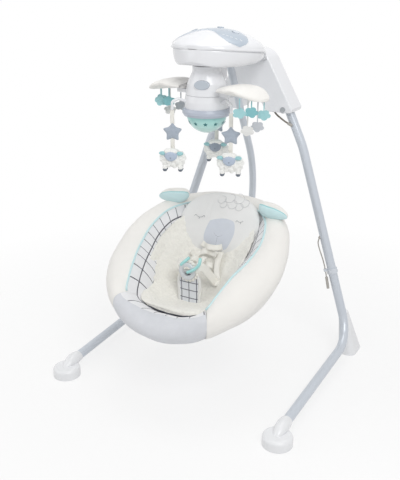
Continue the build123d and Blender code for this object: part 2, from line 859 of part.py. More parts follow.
with BuildPart() as body_pad:
    for index, ((y, z), half) in enumerate(zip(pad_line, pad_half_widths)):
        before = pad_line[max(index - 1, 0)]
        after = pad_line[min(index + 1, len(pad_line) - 1)]
        along = Vector(0, after[0] - before[0], after[1] - before[1])
        with BuildSketch(Plane(origin=(0, y, swivel_top_z + z), x_dir=(1, 0, 0), z_dir=along)):
            with BuildLine():
                Polyline(
                    (half, -pad_edge),
                    (half - pad_edge, -pad_thickness),
                    (pad_edge - half, -pad_thickness),
                    (-half, -pad_edge),
                )
                ThreePointArc((-half, -pad_edge), (0, pad_crown - pad_edge), (half, -pad_edge))
            make_face()
    loft()
    add(rim_cushion.part, mode=Mode.SUBTRACT)
    add(front_cushion.part, mode=Mode.SUBTRACT)

with BuildPart() as seat_liner:
    with BuildSketch(Plane.YZ.offset(-liner_half_width)):
        with BuildLine():
            Polyline(
                (liner_line[0][0], base_z(liner_line[0][0])),
                *[(y, swivel_top_z + rise) for y, rise in liner_line],
                (liner_line[-1][0], base_z(liner_line[-1][0])),
                close=True,
            )
        make_face()
    extrude(amount=2 * liner_half_width)

with BuildPart() as head_pillow:
    up_back = Vector(0, cos(radians(pillow_slope)), sin(radians(pillow_slope)))
    up_front = Vector(0, -sin(radians(pillow_slope)), cos(radians(pillow_slope)))
    lenses = []
    for x, half_height, half_thickness, lift in pillow_sections:
        place = Vector(x, pillow_at[0], swivel_top_z + pillow_at[1]) + up_front * lift
        lens_plane = Plane(origin=place, x_dir=up_back, z_dir=(1, 0, 0))
        lenses.append((lens_plane, half_height, half_thickness, pillow_back_share * half_thickness))
    add(lens_loft(lenses))
    add(body_pad.part, mode=Mode.SUBTRACT)
    add(rim_cushion.part, mode=Mode.SUBTRACT)

with BuildPart() as ears:
    ear_run = Vector(cos(radians(ear_turn)), -sin(radians(ear_turn)), 0)
    ear_root = ear_at + Vector(0, 0, swivel_top_z)
    ovals = []
    for place, half_width, half_height in ear_sections:
        ear_plane = Plane(origin=ear_root + ear_run * place, x_dir=(-ear_run.Y, ear_run.X, 0), z_dir=ear_run)
        ovals.append((ear_plane, half_width, half_height))
    add(oval_loft(ovals))
    add(rim_cushion.part, mode=Mode.SUBTRACT)
    add(head_pillow.part, mode=Mode.SUBTRACT)
    mirror(about=Plane.YZ)

crotch_low_z = swivel_top_z + crotch_low
crotch_top_z = swivel_top_z + crotch_top
buckle_z = swivel_top_z + buckle_rise

with BuildPart() as crotch_pad:
    with BuildSketch(across_y(crotch_y + crotch_thickness / 2)):
        with Locations((0, (crotch_low_z + crotch_top_z) / 2)):
            RectangleRounded(crotch_width, crotch_top_z - crotch_low_z, crotch_corner_r)
        with Locations((0, crotch_low_z + crotch_corner_r)):
            Rectangle(crotch_width, 2 * crotch_corner_r)
    extrude(amount=crotch_thickness)
    add(body_pad.part, mode=Mode.SUBTRACT)

buckle_back_y = crotch_y - crotch_thickness / 2 - buckle_gap

with BuildPart() as buckles:
    with BuildSketch(across_y(buckle_back_y)):
        with Locations((0, buckle_z)):
            Circle(buckle_r)
            Circle(buckle_bore_r, mode=Mode.SUBTRACT)
    extrude(amount=buckle_thickness)
    fillet(buckles.edges(), buckle_edge_r)

with BuildPart() as waist_belts:
    belt_from = Vector(buckle_r + buckle_gap, buckle_back_y - buckle_thickness / 2, buckle_z)
    belt_run = belt_pad_at + Vector(0, 0, swivel_top_z) - belt_from
    with BuildSketch(Plane(origin=belt_from, x_dir=(0, 0, 1), z_dir=belt_run)):
        Rectangle(belt_width, belt_thickness)
    extrude(amount=belt_run.length)
    add(body_pad.part, mode=Mode.SUBTRACT)
    add(crotch_pad.part, mode=Mode.SUBTRACT)
    add(buckles.part, mode=Mode.SUBTRACT)
    mirror(about=Plane.YZ)

# Mobile


def mobile_point(azimuth, reach, z):
    return Vector(reach * cos(radians(azimuth)), mobile_y + reach * sin(radians(azimuth)), z)


wing_root_r, wing_root_half, wing_root_thickness, wing_root_z = wing_sections[0]
wing_tab_z = wing_root_z - wing_belly_share * wing_root_thickness - wing_tab_gap
release_out = Vector(sin(radians(release_azimuth)), -cos(radians(release_azimuth)), 0)
release_face_r = bell_waist_r + release_rise
release_plane = Plane(
    origin=Vector(0, mobile_y, release_z) + release_out * (release_face_r - release_depth),
    x_dir=(release_out.Y, -release_out.X, 0),
    z_dir=release_out,
)

with BuildPart() as mobile_bell:
    bore_r = spindle_r + running_gap
    bell_seat_z = bell_top_z - head_seat_gap
    bell_profile = [
        (0, bell_seat_z),
        (bell_neck_r, bell_seat_z),
        (bell_neck_r, bell_neck_z),
        (bell_waist_r, bell_waist_z),
        (bell_foot_r, bell_foot_z),
        (bell_foot_r - bell_wall, bell_foot_z),
        (bell_waist_r - bell_wall, bell_waist_z),
        (bell_neck_r - bell_wall, bell_roof_z),
        (bell_boss_r, bell_roof_z),
        (bell_boss_r, bell_foot_z),
        (bore_r, bell_foot_z),
        (bore_r, spindle_top_z + spindle_end_gap),
        (0, spindle_top_z + spindle_end_gap),
    ]
    add(turned_profile(bell_profile, mobile_y))
    with BuildSketch(Plane.XY.offset(bell_rib_low_z)):
        with Locations((0, mobile_y + (bell_rib_start + bell_rib_end) / 2)):
            Rectangle(bell_rib_width, bell_rib_end - bell_rib_start)
    extrude(amount=bell_seat_z - bell_rib_low_z)
    for turn in (0, 180):
        tab_plane = Plane(
            origin=mobile_point(wing_azimuth + turn, (wing_tab_start + wing_tab_reach) / 2, bell_foot_z),
            x_dir=mobile_point(wing_azimuth + turn, 1, 0) - mobile_point(wing_azimuth + turn, 0, 0),
            z_dir=(0, 0, 1),
        )
        with BuildSketch(tab_plane):
            Rectangle(wing_tab_reach - wing_tab_start, wing_tab_width)
        extrude(amount=wing_tab_z - bell_foot_z)
    with BuildSketch(release_plane.offset(-release_depth / 2)):
        Ellipse(release_width / 2 + release_gap, release_height / 2 + release_gap)
    extrude(amount=2 * release_depth, mode=Mode.SUBTRACT)

with BuildPart() as mobile_release_button:
    with BuildSketch(release_plane):
        Ellipse(release_width / 2, release_height / 2)
    extrude(amount=release_depth)
    fillet(mobile_release_button.faces().sort_by(Axis.Y)[0].edges(), release_rise / 2)

drum_top_z = bell_foot_z - drum_gap
drum_foot_z = drum_top_z - drum_height
drum_belly_z = drum_foot_z + drum_belly_rise
hook_low_z = drum_belly_z - hook_drop

with BuildPart() as carousel_drum:
    drum_profile = [
        (0, spindle_top_z),
        (spindle_r, spindle_top_z),
        (spindle_r, drum_top_z),
        (drum_top_r, drum_top_z),
        (drum_belly_r, drum_belly_z),
        (drum_foot_r, drum_foot_z),
        (drum_foot_r - drum_wall, drum_foot_z),
        (drum_belly_r - drum_wall, drum_belly_z),
        (drum_top_r - drum_wall, drum_top_z - drum_wall),
        (0, drum_top_z - drum_wall),
    ]
    add(turned_profile(drum_profile, mobile_y))
    for azimuth in lamb_angles.values():
        hook_route = [
            mobile_point(azimuth, drum_belly_r - drum_wall / 2, drum_belly_z),
            mobile_point(azimuth, hook_shoulder_r, drum_belly_z + hook_rise),
            mobile_point(azimuth, hook_reach, drum_belly_z),
            mobile_point(azimuth, hook_reach, hook_low_z),
        ]
        add(round_bar(hook_route, hook_rod, 0, hook_bend_r))

with BuildPart() as trim_ring:
    ring_low_z = drum_foot_z - ring_height
    ring_middle_z = drum_foot_z - ring_height / 2
    ring_profile = [
        (ring_inner_r, drum_foot_z),
        (ring_edge_r, drum_foot_z),
        (ring_r, ring_middle_z + ring_flat / 2),
        (ring_r, ring_middle_z - ring_flat / 2),
        (ring_edge_r, ring_low_z),
        (ring_inner_r, ring_low_z),
    ]
    add(turned_profile(ring_profile, mobile_y))

with BuildPart() as star_dome:
    flange_r = ring_inner_r - dome_gap
    hollow_r = flange_r - dome_wall
    caps = []
    for rim_r, cap_height in ((dome_r, dome_height), (hollow_r, dome_height - dome_wall)):
        ball_r = (rim_r * rim_r + cap_height * cap_height) / (2 * cap_height)
        middle = (ball_r * sqrt(0.5), ring_low_z - cap_height + ball_r * (1 - sqrt(0.5)))
        caps.append(((0, ring_low_z - cap_height), middle, (rim_r, ring_low_z)))
    with BuildSketch(across_y(mobile_y)):
        with BuildLine():
            ThreePointArc(*caps[0])
            Polyline(
                caps[0][2],
                (flange_r, ring_low_z),
                (flange_r, ring_low_z + dome_flange),
                (hollow_r, ring_low_z + dome_flange),
                caps[1][2],
            )
            ThreePointArc(*reversed(caps[1]))
            Line(caps[1][0], caps[0][0])
        make_face()
    revolve(axis=Axis((0, mobile_y, 0), (0, 0, 1)))

with BuildPart() as cloud_wings:
    for turn in (0, 180):
        azimuth = wing_azimuth + turn
        out = mobile_point(azimuth, 1, 0) - mobile_point(azimuth, 0, 0)
        lenses = []
        for reach, half, thickness, z in wing_sections:
            lens_plane = Plane(origin=mobile_point(azimuth, reach, z), x_dir=(-out.Y, out.X, 0), z_dir=out)
            lenses.append((lens_plane, half, (1 - wing_belly_share) * thickness, wing_belly_share * thickness))
        add(lens_loft(lenses))


def wing_height(reach):
    for (r0, half0, t0, z0), (r1, half1, t1, z1) in zip(wing_sections, wing_sections[1:]):
        if reach <= r1:
            return z0 + (z1 - z0) * (reach - r0) / (r1 - r0)


facing = Vector(sin(radians(lamb_azimuth)), -cos(radians(lamb_azimuth)), 0)
sideways = Vector(cos(radians(lamb_azimuth)), sin(radians(lamb_azimuth)), 0)

with BuildPart() as cloud_charms:
    for turn, reach, nearer, z in charm_places:
        azimuth = radians(wing_azimuth)
        near = Vector(sin(azimuth), -cos(azimuth), 0)
        place = mobile_point(wing_azimuth + turn, reach, z) + near * nearer
        charm_plane = Plane(origin=place - facing * (charm_thickness / 2), x_dir=sideways, z_dir=facing)
        with BuildSketch(charm_plane):
            Circle(charm_r)
            with Locations((charm_side, -charm_side / 4), (-charm_side, -charm_side / 4)):
                Circle(charm_side_r)
        extrude(amount=charm_thickness)
        add(rod_between(place, Vector(place.X, place.Y, wing_height(reach)), thread_d))
    add(cloud_wings.part, mode=Mode.SUBTRACT)

# Lambs on their ribbons

star_z = hook_low_z - star_drop
lamb_body_z = star_z - lamb_drop
lamb_leg_low_z = lamb_body_z - lamb_leg_length
lamb_head_z = lamb_body_z + lamb_head_rise
lamb_pieces = {}
for side, azimuth in lamb_angles.items():
    hook_end = mobile_point(azimuth, hook_reach, 0)
    middle = Vector(hook_end.X, hook_end.Y, lamb_body_z)
    with BuildPart() as lamb_body:
        ovals = []
        for place, half_thickness, half_height in lamb_body_sections:
            ovals.append((Plane(origin=middle + sideways * place, x_dir=facing, z_dir=sideways), half_thickness, half_height))
        add(oval_loft(ovals))
        for across in (-1, 1):
            for ahead in (-1, 1):
                spread = sideways * (across * lamb_leg_spread[0]) + facing * (ahead * lamb_leg_spread[1])
                foot = Vector(hook_end.X, hook_end.Y, lamb_leg_low_z) + spread
                add(rod_between(foot, Vector(foot.X, foot.Y, lamb_body_z), lamb_leg_d))
    with BuildPart() as lamb_head:
        head_at = Vector(hook_end.X, hook_end.Y, lamb_head_z) + sideways * lamb_head_aside + facing * lamb_head_ahead
        ovals = []
        for place, half_width, half_height in lamb_head_sections:
            ovals.append((Plane(origin=head_at + facing * place, x_dir=sideways, z_dir=facing), half_width, half_height))
        add(oval_loft(ovals))
        add(lamb_body.part, mode=Mode.SUBTRACT)
    with BuildPart() as hanger:
        star_plane = Plane(
            origin=Vector(hook_end.X, hook_end.Y, star_z) - facing * (star_thickness / 2),
            x_dir=sideways,
            z_dir=facing,
        )
        with BuildSketch(star_plane) as star:
            with BuildLine():
                points = []
                for index in range(10):
                    r = star_inner_r if index % 2 else star_r
                    points.append((r * sin(index * pi / 5), r * cos(index * pi / 5)))
                Polyline(*points, close=True)
            make_face()
            fillet(star.vertices(), star_edge_r)
        extrude(amount=star_thickness)
        ribbon_plane = Plane(
            origin=Vector(hook_end.X, hook_end.Y, lamb_body_z),
            x_dir=sideways,
            z_dir=(0, 0, 1),
        )
        with BuildSketch(ribbon_plane):
            Rectangle(ribbon_width, ribbon_thickness)
        extrude(amount=hook_low_z - hang_gap - lamb_body_z)
        add(lamb_body.part, mode=Mode.SUBTRACT)
        add(lamb_head.part, mode=Mode.SUBTRACT)
    lamb_pieces[f"{side}_lamb_body"] = lamb_body.part
    lamb_pieces[f"{side}_lamb_head"] = lamb_head.part
    lamb_pieces[f"{side}_star_hanger"] = hanger.part

# Labels and files

leg_pieces = {
    "upper_tube": upper_tube.part,
    "elbow_tube": elbow_tube.part,
    "base_tube": base_tube.part,
    "front_foot": front_foot.part,
    "rear_foot": rear_foot.part,
}
pieces = {
    "right_collar": right_collar.part,
    "left_collar": mirrored(collar.part),
    "cord_lower": cord_lower.part,
    "cord_upper": cord_upper.part,
    "power_connector": power_connector.part,
    "cord_grommets": cord_grommets.part,
    "head_top_cover": head_top_cover.part,
    "head_bottom_cover": head_bottom_cover.part,
    "control_panel": control_panel.part,
    "axle_bushes": axle_bushes.part,
    "drive_motor": drive_motor.part,
    "arch_front_shell": arch_front_shell.part,
    "arch_rear_shell": arch_rear_shell.part,
    "battery_door": battery_door.part,
    "batteries": batteries.part,
    "leg_pins": leg_pins.part,
    "swing_arm": swing_arm.part,
    "swing_axle": swing_axle.part,
    "swing_hub": swing_hub.part,
    "swivel_socket": swivel_socket.part,
    "seat_shell": seat_shell.part,
    "rim_cushion": rim_cushion.part,
    "front_cushion": front_cushion.part,
    "seat_liner": seat_liner.part,
    "body_pad": body_pad.part,
    "head_pillow": head_pillow.part,
    "pillow_ears": ears.part,
    "crotch_pad": crotch_pad.part,
    "buckles": buckles.part,
    "waist_belts": waist_belts.part,
    "mobile_bell": mobile_bell.part,
    "mobile_release_button": mobile_release_button.part,
    "carousel_drum": carousel_drum.part,
    "trim_ring": trim_ring.part,
    "star_dome": star_dome.part,
    "cloud_wings": cloud_wings.part,
    "cloud_charms": cloud_charms.part,
    **keys,
    **lamb_pieces,
}
for name, piece in leg_pieces.items():
    pieces[f"right_{name}"] = piece
    pieces[f"left_{name}"] = mirrored(piece)

for name, piece in pieces.items():
    piece.label = name
    export_step(piece, f"parts/{name}.step")
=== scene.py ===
import json
from math import copysign, cos, exp, pi, radians, sin, sqrt

import bmesh
import bpy
import numpy as np
from mathutils import Matrix, Vector, noise
from mathutils.bvhtree import BVHTree


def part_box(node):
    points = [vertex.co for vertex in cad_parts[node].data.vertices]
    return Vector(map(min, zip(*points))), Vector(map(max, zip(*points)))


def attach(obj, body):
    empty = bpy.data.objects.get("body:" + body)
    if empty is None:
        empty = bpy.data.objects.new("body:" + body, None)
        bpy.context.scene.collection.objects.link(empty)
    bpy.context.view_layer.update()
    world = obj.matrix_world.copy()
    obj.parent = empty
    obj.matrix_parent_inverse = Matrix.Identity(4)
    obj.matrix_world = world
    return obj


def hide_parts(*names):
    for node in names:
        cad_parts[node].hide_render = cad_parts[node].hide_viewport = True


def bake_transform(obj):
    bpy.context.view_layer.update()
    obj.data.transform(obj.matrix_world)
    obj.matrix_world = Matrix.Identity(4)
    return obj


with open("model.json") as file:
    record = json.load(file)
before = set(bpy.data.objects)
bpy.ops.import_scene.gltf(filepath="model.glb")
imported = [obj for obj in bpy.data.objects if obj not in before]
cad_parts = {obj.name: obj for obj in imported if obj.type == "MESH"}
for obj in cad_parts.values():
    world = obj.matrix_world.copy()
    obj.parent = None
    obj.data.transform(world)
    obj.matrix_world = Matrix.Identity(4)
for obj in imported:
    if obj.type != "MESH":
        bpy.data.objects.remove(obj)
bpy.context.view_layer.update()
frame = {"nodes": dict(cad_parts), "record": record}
nodes = frame["nodes"]
scene = bpy.context.scene
print("frame loaded")


# Materials

def srgb(r, g, b):
    parts = [c / 255 for c in (r, g, b)]
    return tuple(c / 12.92 if c <= 0.04045 else ((c + 0.055) / 1.055) ** 2.4 for c in parts) + (1.0,)


def shade(colour, factor):
    return tuple(c * factor for c in colour[:3]) + (1.0,)


def addNode(tree, kind, inputs, **settings):
    node = tree.nodes.new(kind)
    for label, value in settings.items():
        setattr(node, label, value)
    for label, value in inputs.items():
        if isinstance(value, bpy.types.NodeSocket):
            tree.links.new(value, node.inputs[label])
        else:
            node.inputs[label].default_value = value
    return node


def mathNode(tree, operation, *values, clamp=False):
    inputs = dict(enumerate(values))
    return addNode(tree, "ShaderNodeMath", inputs, operation=operation, use_clamp=clamp).outputs[0]


def highest(tree, first, *others):
    for other in others:
        first = mathNode(tree, "MAXIMUM", first, other)
    return first


def mixColour(tree, factor, low, high):
    return addNode(tree, "ShaderNodeMix", {0: factor, 6: low, 7: high}, data_type="RGBA").outputs[2]


def noiseNode(tree, vector, scale, detail):
    return addNode(tree, "ShaderNodeTexNoise", {"Vector": vector, "Scale": scale, "Detail": detail})


def newGroup(name, inputs, outputs):
    group = bpy.data.node_groups.new(name, "ShaderNodeTree")
    for direction, labels in (("INPUT", inputs), ("OUTPUT", outputs)):
        for label in labels:
            kind = "NodeSocketVector" if label == "Vector" else "NodeSocketFloat"
            group.interface.new_socket(label, in_out=direction, socket_type=kind)
    return group, group.nodes.new("NodeGroupInput").outputs


weaveGroup, into = newGroup("weave", ["Vector", "Scale"], ["Height", "Shade"])
threads = []
for axis in "XYZ":
    wave = {"Vector": into["Vector"], "Scale": into["Scale"], "Distortion": 1.6, "Detail": 2.0,
            "Detail Scale": 1.5}
    threads.append(addNode(weaveGroup, "ShaderNodeTexWave", wave, bands_direction=axis).outputs["Fac"])
crossed = highest(weaveGroup, *threads)
slub = noiseNode(weaveGroup, into["Vector"], 55, 4.0)
slubbed = mathNode(weaveGroup, "MULTIPLY", crossed, slub.outputs["Fac"])
addNode(weaveGroup, "NodeGroupOutput", {"Height": crossed, "Shade": slubbed})

woolGroup, into = newGroup("wool", ["Vector", "Scale"], ["Height", "Shade"])
curlBend = noiseNode(woolGroup, into["Vector"], 90, 3.0)
bendBy = (0.012, 0.012, 0.012)
bent = addNode(woolGroup, "ShaderNodeVectorMath", {0: curlBend.outputs["Color"], 1: bendBy, 2: into["Vector"]},
               operation="MULTIPLY_ADD")
curls = addNode(woolGroup, "ShaderNodeTexVoronoi", {"Vector": bent.outputs[0], "Scale": into["Scale"]},
                feature="SMOOTH_F1")
tuft = mathNode(woolGroup, "SUBTRACT", 1.0, curls.outputs["Distance"], clamp=True)
addNode(woolGroup, "NodeGroupOutput", {"Height": tuft, "Shade": mathNode(woolGroup, "POWER", tuft, 0.7)})

mouldGroup, into = newGroup("mould", ["Vector", "Scale"], ["Height", "Shade"])
grain = noiseNode(mouldGroup, into["Vector"], into["Scale"], 3.0)
cloudy = noiseNode(mouldGroup, into["Vector"], 14, 2.0)
addNode(mouldGroup, "NodeGroupOutput", {"Height": grain.outputs["Fac"], "Shade": cloudy.outputs["Fac"]})

checkGroup, into = newGroup("windowpane", ["Vector", "Spacing", "Line"], ["Mask"])
apart = addNode(checkGroup, "ShaderNodeSeparateXYZ", {0: into["Vector"]})
lines = []
for side in "XY":
    cell = mathNode(checkGroup, "FRACT", mathNode(checkGroup, "DIVIDE", apart.outputs[side], into["Spacing"]))
    offset = mathNode(checkGroup, "ABSOLUTE", mathNode(checkGroup, "SUBTRACT", cell, 0.5))
    lines.append(mathNode(checkGroup, "LESS_THAN", offset, into["Line"]))
addNode(checkGroup, "NodeGroupOutput", {"Mask": highest(checkGroup, *lines)})


def surface(name, colour, group, scale, roughness, bump, depth, dark, **sockets):
    material = bpy.data.materials.new(name)
    material.use_nodes = True
    tree = material.node_tree
    shader = tree.nodes["Principled BSDF"].inputs
    shader["Roughness"].default_value = roughness
    for label, value in sockets.items():
        shader[label.replace("_", " ")].default_value = value
    place = tree.nodes.new("ShaderNodeTexCoord").outputs["Object"]
    detail = addNode(tree, "ShaderNodeGroup", {"Vector": place, "Scale": scale}, node_tree=group).outputs
    tree.links.new(mixColour(tree, detail["Shade"], shade(colour, dark), colour), shader["Base Color"])
    relief = addNode(tree, "ShaderNodeBump", {"Strength": bump, "Distance": depth, "Height": detail["Height"]})
    tree.links.new(relief.outputs["Normal"], shader["Normal"])
    return material


def plastic(name, colour, roughness):
    return surface(name, colour, mouldGroup, 700, roughness, 0.04, 0.0004, 0.96)


def cloth(name, colour, scale=420, bump=0.35, dark=0.9):
    return surface(name, colour, weaveGroup, scale, 0.85, bump, 0.0005, dark, Sheen_Weight=0.25)


def fluffy(name, colour, scale, bump, dark):
    return surface(name, colour, woolGroup, scale, 0.92, bump, 0.002, dark, Sheen_Weight=0.4)


def metal(name, colour, scale, roughness, bump, dark, metallic):
    return surface(name, colour, mouldGroup, scale, roughness, bump, 0.0003, dark, Metallic=metallic)


def checked(name, colour, lineColour, spacing, line):
    material = cloth(name, colour)
    tree = material.node_tree
    base = tree.nodes["Principled BSDF"].inputs["Base Color"]
    place = addNode(tree, "ShaderNodeAttribute", {}, attribute_name="fabricUv").outputs["Vector"]
    lines = {"Vector": place, "Spacing": spacing, "Line": line}
    grid = addNode(tree, "ShaderNodeGroup", lines, node_tree=checkGroup)
    tree.links.new(mixColour(tree, grid.outputs["Mask"], base.links[0].from_socket, lineColour), base)
    return material


def domeShade(name, low, high, lowZ, highZ):
    material = plastic(name, high, 0.12)
    tree = material.node_tree
    place = tree.nodes.new("ShaderNodeTexCoord").outputs["Object"]
    height = addNode(tree, "ShaderNodeSeparateXYZ", {0: place}).outputs["Z"]
    rise = addNode(tree, "ShaderNodeMapRange", {"Value": height, "From Min": lowZ, "From Max": highZ})
    tree.links.new(mixColour(tree, rise.outputs[0], low, high), tree.nodes["Principled BSDF"].inputs["Base Color"])
    return material


looks = {
    "white_shell": plastic("whiteShell", srgb(236, 237, 240), 0.16),
    "panel_grey": plastic("panelGrey", srgb(182, 193, 205), 0.22),
    "key_white": plastic("keyWhite", srgb(206, 213, 222), 0.4),
    "release_grey": plastic("releaseGrey", srgb(190, 198, 207), 0.22),
    "trim_grey": plastic("trimGrey", srgb(186, 193, 206), 0.26),
    "frame_paint": metal("framePaint", srgb(203, 209, 217), 1600, 0.3, 0.06, 0.96, 0.2),
    "frame_plastic": plastic("framePlastic", srgb(212, 217, 224), 0.38),
    "foot_plastic": plastic("footPlastic", srgb(236, 237, 239), 0.24),
    "steel": metal("steel", srgb(188, 190, 194), 900, 0.32, 0.08, 0.9, 1.0),
    "bush_nylon": plastic("bushNylon", srgb(228, 226, 220), 0.5),
    "motor_metal": metal("motorMetal", srgb(160, 163, 168), 900, 0.4, 0.08, 0.9, 0.8),
    "battery_case": plastic("batteryCase", srgb(92, 96, 102), 0.4),
    "seat_plastic": plastic("seatPlastic", srgb(222, 225, 230), 0.42),
    "aqua_plastic": domeShade("aquaPlastic", srgb(214, 240, 236), srgb(166, 220, 215), 0.684, 0.726),
    "buckle_plastic": plastic("buckleRing", srgb(214, 217, 220), 0.25),
    "cord_rubber": plastic("cordRubber", srgb(176, 172, 166), 0.5),
}
tealPlastic = plastic("tealPlastic", srgb(168, 224, 222), 0.25)
ivoryCloth = cloth("ivoryCloth", srgb(242, 240, 236), 300, 0.2, 0.95)
linen = cloth("greyLinen", srgb(223, 225, 230), 260, 0.5, 0.88)
checkCloth = checked("checkCloth", srgb(242, 242, 244), srgb(84, 84, 94), 0.030, 0.036)
checkSmall = checked("checkSmall", srgb(228, 231, 236), srgb(84, 86, 98), 0.0225, 0.05)
fleece = fluffy("fleece", srgb(243, 241, 234), 170, 0.8, 0.87)
navyUndersideShade = cloth("navyUndersideShade", srgb(84, 87, 104))
pillowCloth = cloth("pillowCloth", srgb(236, 236, 235), 380, 0.25, 0.95)
muzzleCloth = cloth("muzzleCloth", srgb(216, 221, 230), 260, 0.5, 0.9)
threadGrey = cloth("threadGrey", srgb(146, 149, 156))
curlGrey = cloth("curlGrey", srgb(214, 215, 217))
aquaVelour = cloth("aquaVelour", srgb(208, 235, 238), 520, 0.3, 0.94)
# Darker teal painted into the ear's fold as the shade in its crease
earCreaseShade = cloth("earCreaseShade", srgb(160, 211, 215), 520, 0.3, 0.94)
webbing = cloth("webbing", srgb(247, 245, 238), 300, 0.5, 0.92)
wool = fluffy("lambWool", srgb(248, 248, 245), 150, 0.6, 0.9)
faceBlue = cloth("faceBlue", srgb(190, 203, 222), 500, 0.3)
faceBlueInShade = cloth("faceBlueInShade", srgb(158, 168, 182), 500, 0.3)
hoofGrey = cloth("hoofGrey", srgb(112, 120, 132), 500, 0.3)
starGrey = cloth("starGrey", srgb(176, 186, 199), 500, 0.3)
feltAqua = cloth("feltAqua", srgb(170, 218, 222), 600, 0.4)
feltTeal = cloth("feltTeal", srgb(140, 200, 206), 600, 0.4)
feltWhite = cloth("feltWhite", srgb(238, 238, 236), 600, 0.4)
feltGrey = cloth("feltGrey", srgb(204, 208, 214), 600, 0.4)
starOpeningShade = plastic("starOpeningShade", srgb(58, 122, 126), 0.4)
iconPale = plastic("iconPale", srgb(244, 246, 248), 0.4)
sleeveBrown = cloth("sleeveBrown", srgb(140, 132, 124), 500, 0.4)

for row in frame["record"]["subparts"]:
    if row["material_slot"] in looks:
        nodes[row["node"]].data.materials.clear()
        nodes[row["node"]].data.materials.append(looks[row["material_slot"]])
print("materials set")


# Shared shapes

def metres(millimetres):
    return tuple(v / 1000 for v in millimetres)


def bow(value, power):
    return copysign(abs(value) ** power, value)


def around(count):
    return [2 * pi * step / count for step in range(count)]


def upBy(z):
    return np.array([0, 0, z])


def linked(name, data):
    made = bpy.data.objects.new(name, data)
    scene.collection.objects.link(made)
    return made


def finalMesh(made):
    return bpy.data.meshes.new_from_object(made.evaluated_get(bpy.context.evaluated_depsgraph_get()))


def piece(name, points, faces, material, body, slot):
    mesh = bpy.data.meshes.new(name)
    mesh.from_pydata([tuple(p) for p in points], [], [tuple(f) for f in faces])
    mesh.validate()
    mesh.shade_smooth()
    made = linked(name, mesh)
    for each in material if isinstance(material, list) else [material]:
        mesh.materials.append(each)
    if body:
        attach(made, body)
    return made


def gridFaces(rows, columns, closed=True, start=0):
    faces = []
    for row in range(start, start + (rows - 1) * columns, columns):
        for c in range(columns if closed else columns - 1):
            after = (c + 1) % columns
            faces.append((row + c, row + after, row + columns + after, row + columns + c))
    return faces


def ringFaces(rows, columns, capSteps=(1, 1)):
    first, last = range(columns), range((rows - 1) * columns, rows * columns)
    return gridFaces(rows, columns) + [tuple(first[::capSteps[0]]), tuple(last[::capSteps[1]])]


# A lens has a front of so many rings and a back that starts one ring in
def lensRings(rings):
    return [(1, 1 - k / rings) for k in range(rings)] + [(-1, 1 - k / rings) for k in range(1, rings)]


def lensFaces(rings, turns):
    back, end = rings * turns, (2 * rings - 1) * turns
    faces = gridFaces(rings, turns) + gridFaces(rings - 1, turns, start=back)
    faces += [(i, (i + 1) % turns, back + (i + 1) % turns, back + i) for i in range(turns)]
    return faces + [tuple(range(back - turns, back)), tuple(range(end - turns, end))]


def runOf(line):
    run = np.gradient(line, axis=0)
    return run / np.linalg.norm(run, axis=1)[:, None]


offAxis = (0.31, 0.17, 0.93)


def tube(points, radius, sides=10):
    pts = np.array(points, float)
    along = runOf(pts)
    side = np.cross(along[0], offAxis)
    turn = np.linspace(0, 2 * pi, sides, endpoint=False)[:, None]
    rings = []
    for p, d in zip(pts, along):
        side = side - d * (side @ d)
        side /= np.linalg.norm(side)
        rings.append(p + radius * (np.cos(turn) * side + np.sin(turn) * np.cross(d, side)))
    return np.concatenate(rings), ringFaces(len(pts), sides, (-1, 1))


def joined(parts):
    points, faces, start = [], [], 0
    for somePoints, someFaces in parts:
        points.append(np.array(somePoints, float))
        faces += [tuple(i + start for i in f) for f in someFaces]
        start += len(somePoints)
    return np.concatenate(points), faces


def hermite(xs, ys, slopes, at):
    i = np.clip(np.searchsorted(xs, at) - 1, 0, len(xs) - 2)
    width = xs[i + 1] - xs[i]
    t = ((at - xs[i]) / width)[:, None]
    width = width[:, None]
    return ((2 * t ** 3 - 3 * t ** 2 + 1) * ys[i] + (t ** 3 - 2 * t ** 2 + t) * width * slopes[i]
            + (3 * t ** 2 - 2 * t ** 3) * ys[i + 1] + (t ** 3 - t ** 2) * width * slopes[i + 1])


def smoothLine(points, count):
    pts = np.array(points, float)
    steps = np.concatenate([[0], np.cumsum(np.linalg.norm(np.diff(pts, axis=0), axis=1))])
    slopes = np.gradient(pts, steps, axis=0)
    return hermite(steps, pts, slopes, np.linspace(0, steps[-1], count))


puffFrames, puffQuality = 20, 5


def puff(made, pressure, cap, pinned):
    rest = np.array([v.co for v in made.data.vertices])
    made.vertex_groups.new(name="held").add([int(i) for i in pinned], 1.0, "REPLACE")
    modifier = made.modifiers.new("puff", "CLOTH")
    settings = modifier.settings
    settings.quality = puffQuality
    settings.vertex_group_mass = "held"
    settings.use_pressure = True
    settings.uniform_pressure_force = pressure
    settings.effector_weights.gravity = 0
    modifier.collision_settings.use_collision = False
    modifier.point_cache.frame_start = 1
    modifier.point_cache.frame_end = puffFrames
    for step in range(1, puffFrames + 1):
        scene.frame_set(step)
    settled = made.evaluated_get(bpy.context.evaluated_depsgraph_get())
    moved = np.array([v.co for v in settled.data.vertices]) - rest
    far = np.linalg.norm(moved, axis=1)[:, None]
    moved *= np.minimum(1, cap / np.maximum(far, 1e-9))
    made.modifiers.remove(modifier)
    made.vertex_groups.clear()
    made.data.vertices.foreach_set("co", (rest + moved).ravel())
    made.data.update()
    scene.frame_set(1)


def ruffle(made, amount, scale, seed):
    shift = Vector((seed, 2 * seed, 3 * seed))
    normals = [v.normal.copy() for v in made.data.vertices]
    for vertex, normal in zip(made.data.vertices, normals):
        vertex.co += normal * amount * noise.noise(vertex.co * scale + shift)
    made.data.update()


def finer(made):
    step = made.modifiers.new("finer", "SUBSURF")
    step.levels = 1
    step.render_levels = 1


